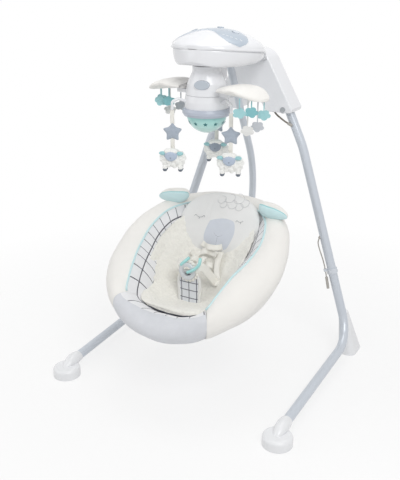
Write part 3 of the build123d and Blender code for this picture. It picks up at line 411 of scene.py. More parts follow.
# An open shell has no inside to tell, so its normals are turned away from its middle
def outward(made, openShell=False):
    bm = bmesh.new()
    bm.from_mesh(made.data)
    bmesh.ops.recalc_face_normals(bm, faces=bm.faces)
    if openShell:
        middle = sum((v.co for v in bm.verts), Vector()) / len(bm.verts)
        if sum(f.normal.dot(f.calc_center_median() - middle) for f in bm.faces) < 0:
            bmesh.ops.reverse_faces(bm, faces=bm.faces)
    bm.to_mesh(made.data)
    bm.free()


def tree3d(made):
    points = [v.co[:] for v in made.data.vertices]
    return BVHTree.FromPolygons(points, [p.vertices[:] for p in made.data.polygons])


def setUv(made, values):
    spots = made.data.attributes.new("fabricUv", "FLOAT_VECTOR", "POINT")
    spots.data.foreach_set("vector", np.array(values, np.float32).ravel())


# Seat rim and front roll

rim = {"centreY": -0.063, "footR": 0.150, "floorR": 0.120, "crown": 0.020, "wallSag": 0.004, "wallSwell": 0.032,
       "swellHeight": 0.15, "checkStart": 0.008, "checkDepth": 0.6, "checkR": 0.18, "baseZ": 0.222,
       "baseSlope": 0.0998, "baseY": -0.090, "seam": 147, "step": 3, "pinch": 0.05, "pinchR": 0.22,
       "pinchReach": 0.009, "piping": 0.0027, "pipingLift": 0.001, "pipingStep": 2.0, "liningRows": 3,
       "softenTimes": 4, "softenRows": (6, 5),
       "stations": [(0, 183, 243, 459, 448, 20), (40, 182, 241, 447, 441, 18), (60, 172, 240, 437, 423, 16),
                    (80, 166, 243, 412, 393, 14), (104, 162, 250, 382, 341, 14), (126, 174, 255, 356, 297, 14),
                    (139, 195, 255, 326, 272, 15), (147, 212, 252, 301, 258, 18), (164, 188, 252, 269, 241, 22),
                    (180, 175, 252, 262, 235, 24)]}  # angle, inner and outer radius, inner and outer height, belly
wallRows, crownRows, bellyRows, footRows = 11, 15, 15, 4
half = [(a, *metres(rest)) for a, *rest in rim["stations"]]
loop = [(-a, *rest) for a, *rest in reversed(half[1:-1])] + half
loop = [(a - 360, *rest) for a, *rest in loop] + loop + [(a + 360, *rest) for a, *rest in loop]
loop = np.array(sorted(set(loop)))
loopSlopes = np.gradient(loop[:, 1:], loop[:, 0], axis=0)


def baseZ(y):
    return rim["baseZ"] + rim["baseSlope"] * (y - rim["baseY"])


def arcRun(a, b, sag, count):
    a, b = np.array(a), np.array(b)
    chord = b - a
    bulge = np.array([-chord[1], chord[0]]) / np.linalg.norm(chord) * 2 * sag
    t = np.linspace(0, 1, count)[:, None]
    return (1 - t) ** 2 * a + 2 * t * (1 - t) * ((a + b) / 2 + bulge) + t ** 2 * b


def rimProfile(angle):
    innerR, outerR, innerZ, outerZ, bulge = hermite(loop[:, 0], loop[:, 1:], loopSlopes, np.array([angle]))[0]
    outY = cos(radians(angle))
    floor, foot = [(r, baseZ(rim["centreY"] + r * outY)) for r in (rim["floorR"], rim["footR"])]
    upright = min(1, (innerZ - floor[1]) / rim["swellHeight"])
    swell = rim["wallSwell"] * sin(radians(angle)) ** 2 * upright
    wall = arcRun(floor, (innerR, innerZ), rim["wallSag"] + swell, wallRows)
    crown = arcRun((innerR, innerZ), (outerR, outerZ), rim["crown"], crownRows)
    belly = arcRun((outerR, outerZ), foot, bulge, bellyRows)
    under = arcRun(foot, floor, 0, footRows)
    outside = np.concatenate([crown, belly[1:]])
    low, high = crownRows - rim["softenRows"][0], crownRows + rim["softenRows"][1]
    for turn in range(rim["softenTimes"]):
        outside[low:high] = (outside[low - 1:high - 1] + 2 * outside[low:high] + outside[low + 1:high + 1]) / 4
    return np.concatenate([wall, outside[1:], under[1:-1]])


def rimPoint(angle, r, z):
    a = radians(angle)
    return r * sin(a), rim["centreY"] + r * cos(a), z


def rimPiece(name, first, last, outside, slot, lining=0):
    angles = np.linspace(first, last, int(abs(last - first) / rim["step"]) + 1)
    spots, uv = [], []
    for angle in angles:
        profile = rimProfile(angle)
        near = min(abs(angle - first), abs(angle - last)) * radians(1) * rim["pinchR"]
        middle = profile.mean(axis=0)
        profile = middle + (profile - middle) * (1 - rim["pinch"] * exp(-(near / rim["pinchReach"]) ** 2))
        spots += [rimPoint(angle, r, z) for r, z in profile]
        across = radians(angle) * rim["checkR"]
        depth = np.linalg.norm(profile - profile[wallRows - 1], axis=1)
        uv += [(across, rim["checkDepth"] * (d - rim["checkStart"]), 0) for d in depth]
    rows = len(spots) // len(angles)
    made = piece(name, spots, gridFaces(len(angles), rows), [outside, checkCloth], None, slot)
    setUv(made, uv)
    for index, polygon in enumerate(made.data.polygons):
        polygon.material_index = 1 if index % rows < wallRows - 1 + lining else 0
    outward(made)
    index = np.arange(len(spots))
    row, column = index % rows, index // rows
    held = index[(row < wallRows) | (row >= rows - footRows) | (column == 0) | (column == len(angles) - 1)]
    puff(made, pressure=4, cap=0.006, pinned=held)
    ruffle(made, amount=0.0022, scale=16, seed=first)
    ruffle(made, amount=0.0008, scale=48, seed=last)
    finer(made)
    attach(made, "seat")
    return made


rimCushion = rimPiece("rimCushion", -rim["seam"], rim["seam"], ivoryCloth, "cream_plush")
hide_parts("rim_cushion")
frontRoll = rimPiece("frontRoll", rim["seam"], 360 - rim["seam"], linen, "grey_linen", rim["liningRows"])
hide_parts("front_cushion")
edges = []
for angle in np.arange(-rim["seam"], rim["seam"] + 0.1, rim["pipingStep"]):
    r, z = rimProfile(angle)[wallRows - 1]
    edges.append(rimPoint(angle, r, z + rim["pipingLift"]))
piece("rimPiping", *tube(edges, rim["piping"]), aquaVelour, "seat", "aqua_fabric")
print("rim done")

# Body pad: a long slab whose sides rise, with its downward faces at the front painted dark navy, partly the
# underside's colour and partly painted shadow in the gap under the lifted front

pad = {"line": [(106, 461), (75, 414), (17, 350), (-50, 288), (-120, 240), (-172, 246), (-222, 267)],
       "halves": [64, 102, 131, 127, 120, 112, 90], "lifts": [6, 28, 68, 88, 88, 54, 14], "thickness": 0.014,
       "crown": 0.006, "taperRows": 6, "narrowing": 0.06, "square": (0.45, 0.6), "liftPower": 2.6, "undersideShadeY": -0.195}
padSteps, padTurns = 110, 100
padRows = [(*spot, wide, lift) for spot, wide, lift in zip(pad["line"], pad["halves"], pad["lifts"])]
padLine = smoothLine([metres(row) for row in padRows], padSteps)
padPoints = []
for index, ((y, z, w, edgeLift), (runY, runZ)) in enumerate(zip(padLine, runOf(padLine[:, :2]))):
    end = min(index, padSteps - 1 - index) / pad["taperRows"]
    taper = sqrt(min(1, max(end, 0.02) * (2 - min(end, 1)))) if end < 1 else 1
    for t in around(padTurns):
        across = bow(cos(t), pad["square"][0])
        thick = bow(sin(t), pad["square"][1]) * pad["thickness"] / 2 * taper
        crown = pad["crown"] * (1 - across ** 2) * (1 if thick > 0 else 0)
        high = thick - pad["thickness"] / 2 + (edgeLift * abs(across) ** pad["liftPower"] + crown)
        wide = across * w * (1 - pad["narrowing"] + pad["narrowing"] * taper)
        padPoints.append((wide, y + runZ * high, z - runY * high))
padFaces = ringFaces(padSteps, padTurns, (1, -1))
bodyPad = piece("bodyPad", padPoints, padFaces, [fleece, navyUndersideShade], "seat", "fleece_pad")
outward(bodyPad)
# Downward faces at the front get dark navy: partly the underside's colour, partly painted shadow under the lifted
# front
for polygon in bodyPad.data.polygons:
    if polygon.center.y < pad["undersideShadeY"] and polygon.normal.z < -0.1:
        polygon.material_index = 1
ruffle(bodyPad, amount=0.004, scale=28, seed=3)
ruffle(bodyPad, amount=0.0022, scale=110, seed=5)
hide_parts("body_pad", "seat_liner")
print("pad done")

# Head pillow with its face, which is drawn in millimetres across and up the pillow

pillow = {"at": (0, 0.054, 0.409), "slope": 57, "halfWidth": 0.122, "halfHeight": 0.094, "front": 0.021,
          "back": 0.011, "bend": 0.012, "square": 0.92, "swell": (2.2, 0.6), "seamX": -0.032, "seamLow": -0.004,
          "groove": 0.003, "grooveWidth": 0.004, "castFrom": 0.12, "missed": 0.01}
lean = radians(pillow["slope"])
pillowUp = np.array([0, cos(lean), sin(lean)])
pillowOut = np.array([0, -sin(lean), cos(lean)])
ringCount, turnCount = 18, 80


def pillowPoint(x, b, height):
    bend = pillow["bend"] * (x / pillow["halfWidth"]) ** 2
    return np.array(pillow["at"]) + np.array([x, 0, 0]) + pillowUp * b + pillowOut * (height + bend)


pillowPoints = []
for side, rho in lensRings(ringCount):
    depth = side * (pillow["front"] if side == 1 else pillow["back"])
    high = depth * (1 - rho ** pillow["swell"][0]) ** pillow["swell"][1]
    for t in around(turnCount):
        x = pillow["halfWidth"] * rho * bow(cos(t), pillow["square"])
        b = pillow["halfHeight"] * rho * bow(sin(t), pillow["square"])
        groove = 0
        if side == 1 and b > pillow["seamLow"]:
            groove = pillow["groove"] * exp(-((x - pillow["seamX"]) / pillow["grooveWidth"]) ** 2)
        pillowPoints.append(pillowPoint(x, b, high - groove * (1 - rho ** 4)))
pillowFaces = lensFaces(ringCount, turnCount)
headPillow = piece("headPillow", pillowPoints, pillowFaces, pillowCloth, "seat", "pillow_fabric")
outward(headPillow)
pillowHeld = [*range(turnCount), *range(ringCount * turnCount, len(pillowPoints))]
puff(headPillow, pressure=4, cap=0.006, pinned=pillowHeld)
ruffle(headPillow, amount=0.0016, scale=22, seed=7)
finer(headPillow)
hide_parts("head_pillow")
pillowTree = tree3d(headPillow)


def onPillow(x, b, proud):
    x, b = metres((x, b))
    place = pillowTree.ray_cast(Vector(pillowPoint(x, b, pillow["castFrom"])), Vector(-pillowOut))[0]
    return np.array(place) + pillowOut * proud if place else pillowPoint(x, b, pillow["missed"])


def sewn(threadLines, width, proud=0.0006):
    parts = []
    for line in threadLines:
        spots = smoothLine(line, max(6, 5 * len(line)))
        parts.append(tube([onPillow(x, b, proud) for x, b in spots], width, 6))
    return joined(parts)


lids = {-57: [(-71, 12), (-64, 8), (-57, 6), (-50, 8), (-44, 13)],
        65: [(56, 15), (62, 12), (68, 12), (74, 17)]}  # by the eye's middle
lashes = [[(x, b), (x + (x - middleX) * 0.25, b - 5)] for middleX, lid in lids.items() for x, b in lid[::2]]
mouth = [[(-1, -30), (5, -35), (11, -38), (18, -36), (24, -31)], [(11, -38), (11, -49), (10, -63)]]
faceLines = [*lids.values(), *lashes, *mouth]
piece("pillowThreads", *sewn(faceLines, 0.0005), threadGrey, "seat", "pillow_fabric")
curlSpots = [(-8, 68, 12), (14, 76, 14), (40, 78, 15), (62, 68, 12), (2, 54, 10), (28, 58, 13), (50, 54, 11)]
curlTurns = np.linspace(-2.9, 1.9, 11)
curlLines = [[(x + r * cos(t), b + r * sin(t)) for t in curlTurns] for x, b, r in curlSpots]
piece("pillowCurls", *sewn(curlLines, 0.0006), curlGrey, "seat", "pillow_fabric")
muzzleEdge = [(-23, 2), (-4, 10), (29, 14), (48, 9), (56, -10), (52, -46), (40, -68), (11, -73), (-22, -70),
              (-31, -46), (-28, -18)]
muzzleRings, muzzleTurns = 9, 60
muzzlePoints, muzzleMiddle = [], np.array([12.0, -30.0])
muzzleLoop = smoothLine(muzzleEdge + muzzleEdge[:1], muzzleTurns + 1)[:-1]
for share in np.linspace(1, 0.1, muzzleRings):
    for spot in muzzleLoop:
        spot = muzzleMiddle + (spot - muzzleMiddle) * share
        muzzlePoints.append(onPillow(*spot, 0.0010 if share < 1 else 0.0001))
muzzleFaces = gridFaces(muzzleRings, muzzleTurns)
muzzleFaces.append(tuple(range((muzzleRings - 1) * muzzleTurns, muzzleRings * muzzleTurns)))
muzzle = piece("pillowMuzzle", muzzlePoints, muzzleFaces, muzzleCloth, "seat", "pillow_fabric")

# Pillow ears: a leaf whose front is aqua and whose back is ivory, with the fold between painted a darker teal as
# the shade in its crease

ear = {"at": (0.154, 0.063, 0.470), "turn": 12, "length": 0.046, "depth": 0.018, "height": 0.021, "drop": 0.006,
       "fold": 0.0032, "foldDepth": 1.6, "foldAt": 0.72, "foldWidth": 0.16, "aqua": (0.75, 1.5), "creaseShadeFrom": 0.68}
earSteps, earTurns = 33, 28
for side, name in ((1, "right"), (-1, "left")):
    a = radians(ear["turn"])
    along = np.array([side * cos(a), -sin(a), 0])
    across = np.array([side * sin(a), cos(a), 0])
    spots = []
    for step in np.linspace(-1, 1, earSteps):
        swell = max(0.02, 1 - abs(step) ** 2.4) ** 0.5 * (1 - 0.22 * step)
        for t in around(earTurns):
            crease = exp(-((t - ear["foldAt"] * pi) / ear["foldWidth"]) ** 2)
            reach = 1 - ear["fold"] / ear["height"] * ear["foldDepth"] * crease * (1 - step ** 2)
            high = ear["height"] * swell * sin(t) * reach - ear["drop"] * step * abs(step)
            spots.append(np.array(ear["at"]) * (side, 1, 1) + along * step * ear["length"]
                         + across * ear["depth"] * swell * cos(t) * reach + upBy(high))
    faces = ringFaces(earSteps, earTurns)
    leaf = piece(name + "Ear", spots, faces, [aquaVelour, ivoryCloth, earCreaseShade], "seat", "aqua_fabric")
    aquaFrom, aquaTo = ear["aqua"]
    for index, polygon in enumerate(leaf.data.polygons):
        turn = index % earTurns / earTurns * 2
        polygon.material_index = 0 if aquaFrom < turn < aquaTo else 2 if ear["creaseShadeFrom"] < turn <= aquaFrom else 1
    outward(leaf)
    ruffle(leaf, amount=0.0012, scale=60, seed=side)
    finer(leaf)
    if side == 1:
        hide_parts("pillow_ears")
print("pillow done")

# Harness

crotch = {"width": 0.060, "low": 0.232, "top": 0.335, "y": -0.118, "thickness": 0.013, "binding": 0.0042,
          "checkShift": 0.1, "shoulder": 0.78, "topShare": 0.22, "bindingY": -0.120, "cornerDrop": 0.006}
slab, slabUv = [], []
upCount, roundCount = 26, 28
for step in np.linspace(0, 1, upCount):
    z = crotch["low"] + step * (crotch["top"] - crotch["low"])
    near = max(0, (step - crotch["shoulder"]) / crotch["topShare"])
    w = crotch["width"] / 2 * sqrt(max(0.02, 1 - near ** 2.2))
    thick = crotch["thickness"] / 2 * sqrt(max(0.05, 1 - near ** 3)) * (0.9 + 0.1 * cos(step * 9))
    for t in around(roundCount):
        x = w * bow(cos(t), 0.5)
        slab.append((x, crotch["y"] + thick * bow(sin(t), 0.7), z))
        slabUv.append((x + crotch["checkShift"], z, 0))
crotchPad = piece("crotchPad", slab, ringFaces(upCount, roundCount), checkSmall, "seat", "fleece_pad")
setUv(crotchPad, slabUv)
finer(crotchPad)
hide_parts("crotch_pad")
edgeX, shoulderZ = crotch["width"] / 2, crotch["low"] + crotch["shoulder"] * (crotch["top"] - crotch["low"])
bound = [(edgeX, crotch["low"]), (edgeX, (crotch["low"] + shoulderZ) / 2), (edgeX, shoulderZ),
         (0.7 * edgeX, crotch["top"] - crotch["cornerDrop"])]
bound = [(-x, z) for x, z in bound] + [(0, crotch["top"])] + bound[::-1]
bindingLine = smoothLine([(x, crotch["bindingY"], z) for x, z in bound], 80)
crotchBinding = piece("crotchBinding", *tube(bindingLine, crotch["binding"]), feltWhite, "seat", "fleece_pad")

ribbonAcross = (-1, -0.5, 0, 0.5, 1)
ribbonEdge = [(u, -1) for u in ribbonAcross] + [(-u, 1) for u in ribbonAcross]


def ribbon(name, route, width, thickness, side, body, held, restsOn):
    line = smoothLine(route, 10 * len(route))
    spots = []
    for p, d in zip(line, runOf(line)):
        s = np.array(side, float)
        s = s - d * (s @ d)
        s /= np.linalg.norm(s)
        n = np.cross(d, s)
        spots += [p + s * u * width / 2 + n * v * thickness / 2 for u, v in ribbonEdge]
    made = piece(name, spots, ringFaces(len(line), len(ribbonEdge)), webbing, body, "webbing")
    return made


belts = {"width": 0.022, "slim": 0.016, "thickness": 0.0022, "clip": 0.0044,
         "route": [(0.021, -0.130, 0.346), (0.034, -0.116, 0.350), (0.048, -0.094, 0.322), (0.060, -0.066, 0.282)]}
for sign, name in ((1, "right"), (-1, "left")):
    route = [(sign * x, y, z) for x, y, z in belts["route"]]
    belt = ribbon(name + "Belt", route, belts["width"], belts["thickness"], (0.3 * sign, 0.6, 0.7), "seat", "laid",
                  ["bodyPad"])
    if sign == 1:
        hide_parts("waist_belts")
hooks = {"right": [(0.037, -0.126, 0.381), (0.038, -0.134, 0.366), (0.027, -0.139, 0.352), (0.004, -0.139, 0.338)],
         "left": [(-0.018, -0.132, 0.352), (-0.007, -0.132, 0.364), (0.005, -0.126, 0.376)]}
for name, hook in hooks.items():
    clip = piece(name + "Clip", *tube(smoothLine(hook, 22), belts["clip"]), tealPlastic, "seat", "buckle_plastic")
    finer(clip)
onPad = np.array([0, 0.73, 0.68])
folds = {"strapLead": ((1, 0, 0), [(0.004, -0.124, 0.358), (-0.002, -0.098, 0.347), (-0.006, -0.062, 0.330),
                                   (-0.004, -0.030, 0.342)]),
         "strapTail": ((0.8, 0.4, 0.4), [(0.036, -0.008, 0.356), (0.038, -0.036, 0.330), (0.050, -0.060, 0.306),
                                         (0.062, -0.082, 0.290)])}
strapFolds = [(-0.030, 0.2, 1.3, -0.044, 0.010), (-0.010, 2.0, 1.7, -0.046, 0.011),
              (0.006, 4.1, 1.1, -0.028, 0.009)]  # depth, phase, wave, and the first place and pace across
for number, (low, turn, wave, fromX, pace) in enumerate(strapFolds):
    route = []
    for step in range(8):
        lift = 0.012 + 0.005 * number + 0.007 * sin(wave * step + turn)
        drift = low + 0.005 * sin(0.8 * step + 2 * turn)
        route.append((fromX + pace * step, drift - 0.68 * lift, 0.318 + 0.93 * (drift + 0.030) + 0.73 * lift))
    folds["strapFold" + str(number + 1)] = (onPad + np.array([0.35 * sin(turn), 0, 0.4 * number]), route)
for name, (side, route) in folds.items():
    ribbon(name, route, belts["slim"], belts["thickness"], side, "seat", "folded", ["bodyPad"])
gather = {"y": -0.1255, "z": 0.338, "radius": 0.027, "thickness": 0.0036, "waves": 17, "sway": (0.0014, 0.0016)}
ringLine = []
for turn in np.linspace(0, 2 * pi, 120):
    r = gather["radius"] + gather["sway"][0] * sin(gather["waves"] * turn)
    y = gather["y"] + gather["sway"][1] * cos(gather["waves"] * turn)
    ringLine.append((r * cos(turn), y, gather["z"] + r * sin(turn)))
gatheredRing = piece("gatheredRing", *tube(ringLine, gather["thickness"]), webbing, "seat", "webbing")
print("harness done")

# Drive head, in millimetres: a domed top cover with a moulded lip over a bottom cover that tucks in, and the panel

head = {"noseY": -99, "lip": 2.4, "lipHeight": 7, "tuck": 0.74, "wall": 0.002, "round": 0.6, "keyHole": 0.0089,
        "slotHalf": 27, "slotY": (72, 111),
        "sections": [(-99, 14, 902, 900, 866), (-90, 44, 909, 900, 857), (-68, 74, 919, 898, 852),
                     (-30, 96, 931, 894, 850), (20, 111, 934.5, 889, 850), (67, 110, 928.5, 884, 850),
                     (125, 88, 905, 874, 850), (185, 62, 884, 860, 848),
                     (237, 42, 866, 847, 838)]}  # place, half width, and heights of crown, lip and floor
headRows = np.array(head["sections"], float)
headSteps = np.sqrt(headRows[:, 0] - head["noseY"])
headSlopes = np.gradient(headRows[:, 1:], headSteps, axis=0)
headPlaces = sorted([head["noseY"] + s * s for s in np.linspace(0, headSteps[-1], 74)] + list(head["slotY"]))


def headSection(y):
    step = sqrt(max(0, y - head["noseY"]))
    return hermite(headSteps, headRows[:, 1:], headSlopes, np.array([step]))[0]


def headTopZ(x, y):
    half, crown, edge, floor = headSection(y)
    return edge + (crown - edge) * max(0, 1 - (x / half) ** 2) ** head["round"]


def shellPiece(name, rows, slot, node, dropped=(), capped=True):
    columns = len(rows[0])
    faces = [f for f in gridFaces(len(rows), columns, closed=False) if f not in dropped]
    if capped:
        faces.append(tuple(range(columns)))
    made = piece(name, [metres(spot) for row in rows for spot in row], faces, looks[slot], "housing", slot)
    outward(made, openShell=True)
    thick = made.modifiers.new("thick", "SOLIDIFY")
    thick.thickness = head["wall"]
    thick.offset = -1
    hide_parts(node)
    return made


def keyOpenings(made):
    bm = bmesh.new()
    for key in ("power_key", "speed_key", "sound_key"):
        low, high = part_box(key)
        bmesh.ops.create_cone(bm, cap_ends=True, segments=48, radius1=head["keyHole"], radius2=head["keyHole"],
                              depth=0.1, matrix=Matrix.Translation((low + high) / 2))
    mesh = bpy.data.meshes.new("keyCutter")
    bm.to_mesh(mesh)
    bm.free()
    cutter = linked("keyCutter", mesh)
    cut = made.modifiers.new("cut", "BOOLEAN")
    cut.operation = "DIFFERENCE"
    cut.solver = "EXACT"
    cut.object = cutter
    opened = finalMesh(made)
    made.modifiers.clear()
    made.data = opened
    bpy.data.objects.remove(cutter)


topRows, bottomRows = [], []
for y in headPlaces:
    half, crown, edge, floor = headSection(y)
    low = edge - head["lipHeight"]
    lip = [(max(0.2, half - 4), low), (max(0.4, half - 1), low), (half + 0.6 * head["lip"], low + 1.2),
           (half + head["lip"], low + 3.2), (half + 0.7 * head["lip"], edge - 1.2)]
    arc = [half * sin(t) for t in np.linspace(-pi / 2, pi / 2, 49)]
    arc = [(x, headTopZ(x, y)) for x in arc]
    topRows.append([(x, y, z) for x, z in [(-x, z) for x, z in lip] + arc + lip[::-1]])
    wide, tucked = max(0.3, half - 3), head["tuck"] * half
    side = [(tucked + max(0, wide - tucked) * cos(t) ** 0.8, low + 1 - (low + 1 - floor) * sin(t))
            for t in np.linspace(0, pi / 2 - 0.001, 10)]
    inner = min(head["slotHalf"], 0.6 * tucked)
    flat = [*np.linspace(tucked, inner, 6)[1:], *np.linspace(inner, -inner, 7)[1:-1],
            *np.linspace(-inner, -tucked, 6)[:-1]]
    bottom = side + [(x, floor) for x in flat] + [(-x, z) for x, z in side[::-1]]
    bottomRows.append([(x, y, z) for x, z in bottom])
slotFaces = set()
bottomSpots = [spot for row in bottomRows for spot in row]
slotLow, slotHigh = head["slotY"][0] - 0.1, head["slotY"][1] + 0.1
for face in gridFaces(len(bottomRows), len(bottomRows[0]), closed=False):
    corners = [bottomSpots[i] for i in face]
    if all(abs(x) < head["slotHalf"] + 0.1 and slotLow < y < slotHigh for x, y, z in corners):
        slotFaces.add(face)
keyOpenings(shellPiece("headTop", topRows, "white_shell", "head_top_cover"))
shellPiece("headBottom", bottomRows, "white_shell", "head_bottom_cover", slotFaces)

panel = {"front": [(0, -22), (21, -31), (51, -50), (74, -54), (90, -41), (99, -13)], "proud": 0.7, "bead": 0.0009,
         "rear": [(0, 58), (30, 53), (60, 36), (86, 19), (97, 3), (99, -13)], "count": 40,
         "marks": [(48, -34), (58, -33), (68, -30), (78, -25), (87, -17)], "mark": 0.0008}
frontEdge = smoothLine(panel["front"], panel["count"])
rearEdge = smoothLine(panel["rear"], panel["count"])


def onHead(x, y, proud=0):
    return metres((x, y, headTopZ(x, y) + proud))


panelRows = []
for step in range(1 - panel["count"], panel["count"]):
    a, b = frontEdge[abs(step)], rearEdge[abs(step)]
    row = []
    for share in np.linspace(0, 1, 17):
        x, y = a + (b - a) * share
        edge = max(abs(2 * share - 1) ** 10, (abs(step) / (panel["count"] - 1)) ** 24)
        row.append((copysign(x, step), y, headTopZ(x, y) + panel["proud"] * (1 - 1.3 * edge)))
    panelRows.append(row)
keyOpenings(shellPiece("controlFace", panelRows, "panel_grey", "control_panel", capped=False))
panelLoop = [(-x, y) for x, y in frontEdge[::-1]] + [tuple(p) for p in frontEdge[1:]]
panelLoop += [tuple(p) for p in rearEdge[::-1][1:]] + [(-x, y) for x, y in rearEdge[1:]]
beadLine = [onHead(x, y) for x, y in panelLoop]
piece("panelBead", *tube(beadLine, panel["bead"], 8), looks["white_shell"], "housing", "white_shell")
marks = []
for x, y in panel["marks"]:
    dash = [onHead(x + u, y + 0.3 * u, panel["proud"]) for u in np.linspace(-2.6, 2.6, 7)]
    marks.append(tube(dash, panel["mark"], 6))
piece("panelMarks", *joined(marks), iconPale, "housing", "key_white")
print("head done")


# Mobile: star openings in the dome, wings, charms, lambs

def repeatTree():
    tree = bpy.data.node_groups.new("repeatUnits", "GeometryNodeTree")
    tree.interface.new_socket("Geometry", in_out="INPUT", socket_type="NodeSocketGeometry")
    unitSocket = tree.interface.new_socket("Unit", in_out="INPUT", socket_type="NodeSocketObject")
    tree.interface.new_socket("Geometry", in_out="OUTPUT", socket_type="NodeSocketGeometry")
    start = tree.nodes.new("NodeGroupInput").outputs
    unit = addNode(tree, "GeometryNodeObjectInfo", {"Object": start["Unit"]}).outputs["Geometry"]
    turn = addNode(tree, "GeometryNodeInputNamedAttribute", {"Name": "turn"}, data_type="FLOAT_VECTOR")
    place = addNode(tree, "GeometryNodeInstanceOnPoints", {"Points": start["Geometry"], "Instance": unit,
                                                           "Rotation": turn.outputs["Attribute"]})
    real = addNode(tree, "GeometryNodeRealizeInstances", {"Geometry": place.outputs["Instances"]})
    addNode(tree, "NodeGroupOutput", {"Geometry": real.outputs["Geometry"]})
    return tree, unitSocket.identifier


repeatUnits, unitInput = repeatTree()


def repeated(name, spots, unit, material, body):
    points = bpy.data.meshes.new(name + "Points")
    points.from_pydata([tuple(p) for p, turn in spots], [], [])
    turns = np.array([turn for p, turn in spots], np.float32)
    points.attributes.new("turn", "FLOAT_VECTOR", "POINT").data.foreach_set("vector", turns.ravel())
    holder = linked(name + "Points", points)
    modifier = holder.modifiers.new("repeat", "NODES")
    modifier.node_group = repeatUnits
    modifier[unitInput] = unit
    mesh = finalMesh(holder)
    bpy.data.objects.remove(holder)
    mesh.name = name
    mesh.materials.clear()
    mesh.materials.append(material)
    made = linked(name, mesh)
    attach(made, body)


def starOutline(outer, inner):
    spokes = [(inner if i % 2 else outer, i * pi / 5) for i in range(10)]
    return [(r * sin(a), r * cos(a)) for r, a in spokes]


dome = {"y": -0.027, "lowZ": 0.7285, "rimR": 0.051, "height": 0.045, "count": 11, "star": 0.0058, "starWaist": 0.48,
        "starDown": 27, "starThick": 0.0006, "starSunk": 0.0002}
ballR = (dome["rimR"] ** 2 + dome["height"] ** 2) / (2 * dome["height"])
ballZ = dome["lowZ"] - dome["height"] + ballR
# The star openings are thin dark teal plates on the dome, painted as the shade seen inside the openings
starUnit = bpy.data.meshes.new("starUnit")
flatStar = starOutline(dome["star"], dome["starWaist"] * dome["star"])
starUnit.from_pydata([(x, y, z) for z in (0.0, dome["starThick"]) for x, y in flatStar], [],
                     [tuple(range(10, 20))[::-1]] + gridFaces(2, 10))
starObject = bpy.data.objects.new("starUnit", starUnit)
domeSpots = []
down = radians(dome["starDown"])
for a in around(dome["count"]):
    out = Vector((cos(a) * cos(down), sin(a) * cos(down), -sin(down)))
    place = Vector((0, dome["y"], ballZ)) + out * (ballR - dome["starSunk"])
    domeSpots.append((place, out.to_track_quat("Z", "Y").to_euler()))
repeated("domeStars", domeSpots, starObject, starOpeningShade, "carousel")
bpy.data.objects.remove(starObject)

wings = {"azimuth": -9, "scallop": 0.07, "scallops": 2.5, "round": 0.8, "slim": 0.95, "shares": (0.6, 0.4),
         "sections": [(58, 42, 14, 796), (95, 56, 19, 799), (135, 52, 19, 793), (161, 36, 15, 783),
                      (173, 17, 7, 777)]}  # reach, half width, thickness, height
wingSteps, wingTurns = 30, 32


def mobilePoint(azimuth, reach, z):
    a = radians(azimuth)
    return np.array([reach * cos(a), dome["y"] + reach * sin(a), z])


for turn, name in ((0, "right"), (180, "left")):
    azimuth = wings["azimuth"] + turn
    out = mobilePoint(azimuth, 1, 0) - mobilePoint(azimuth, 0, 0)
    across = np.array([-out[1], out[0], 0])
    spots = []
    for index, (reach, w, thick, z) in enumerate(smoothLine([metres(s) for s in wings["sections"]], wingSteps)):
        scallop = 1 + wings["scallop"] * abs(sin(index / (wingSteps - 1) * pi * wings["scallops"]))
        for t in around(wingTurns):
            share = wings["shares"][0 if sin(t) > 0 else 1]
            high = share * thick * bow(sin(t), wings["round"])
            spots.append(mobilePoint(azimuth, reach, z + high) + across * w * scallop * cos(t) * wings["slim"])
    wing = piece(name + "Wing", spots, ringFaces(wingSteps, wingTurns), ivoryCloth, "housing", "cream_plush")
    puff(wing, pressure=3, cap=0.003, pinned=range(2 * wingTurns))
    ruffle(wing, amount=0.0012, scale=50, seed=turn + 1)
    finer(wing)
    if turn == 0:
        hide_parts("cloud_wings")

charmCut = {"lobe": 0.0098, "scallop": 0.0032, "stretch": 1.3, "turns": 48, "strip": 0.0014, "stripLow": 0.008,
            "half": 0.001, "bend": 0.0012, "width": 0.034, "low": 0.013, "leastShare": 0.32}
charms = [(0, 128, 40, 752, feltAqua), (0, 150, 22, 754, feltTeal), (0, 163, -12, 744, feltAqua),
          (0, 152, -2, 716, feltGrey), (0, 133, 12, 706, feltWhite), (180, 152, -2, 752, feltAqua),
          (180, 140, 14, 750, feltAqua), (180, 114, 12, 752, feltTeal), (180, 134, -16, 724, feltWhite),
          (180, 114, -36, 734, feltGrey)]  # wing, reach, how much nearer the front, height, felt
lambTurn = radians(22)
facing = np.array([sin(lambTurn), -cos(lambTurn), 0])
sideways = np.array([cos(lambTurn), sin(lambTurn), 0])
nearDirection = np.array([sin(radians(wings["azimuth"])), -cos(radians(wings["azimuth"])), 0])
sectionReach = [s[0] for s in wings["sections"]]
sectionZ = [s[3] - 0.4 * s[2] for s in wings["sections"]]
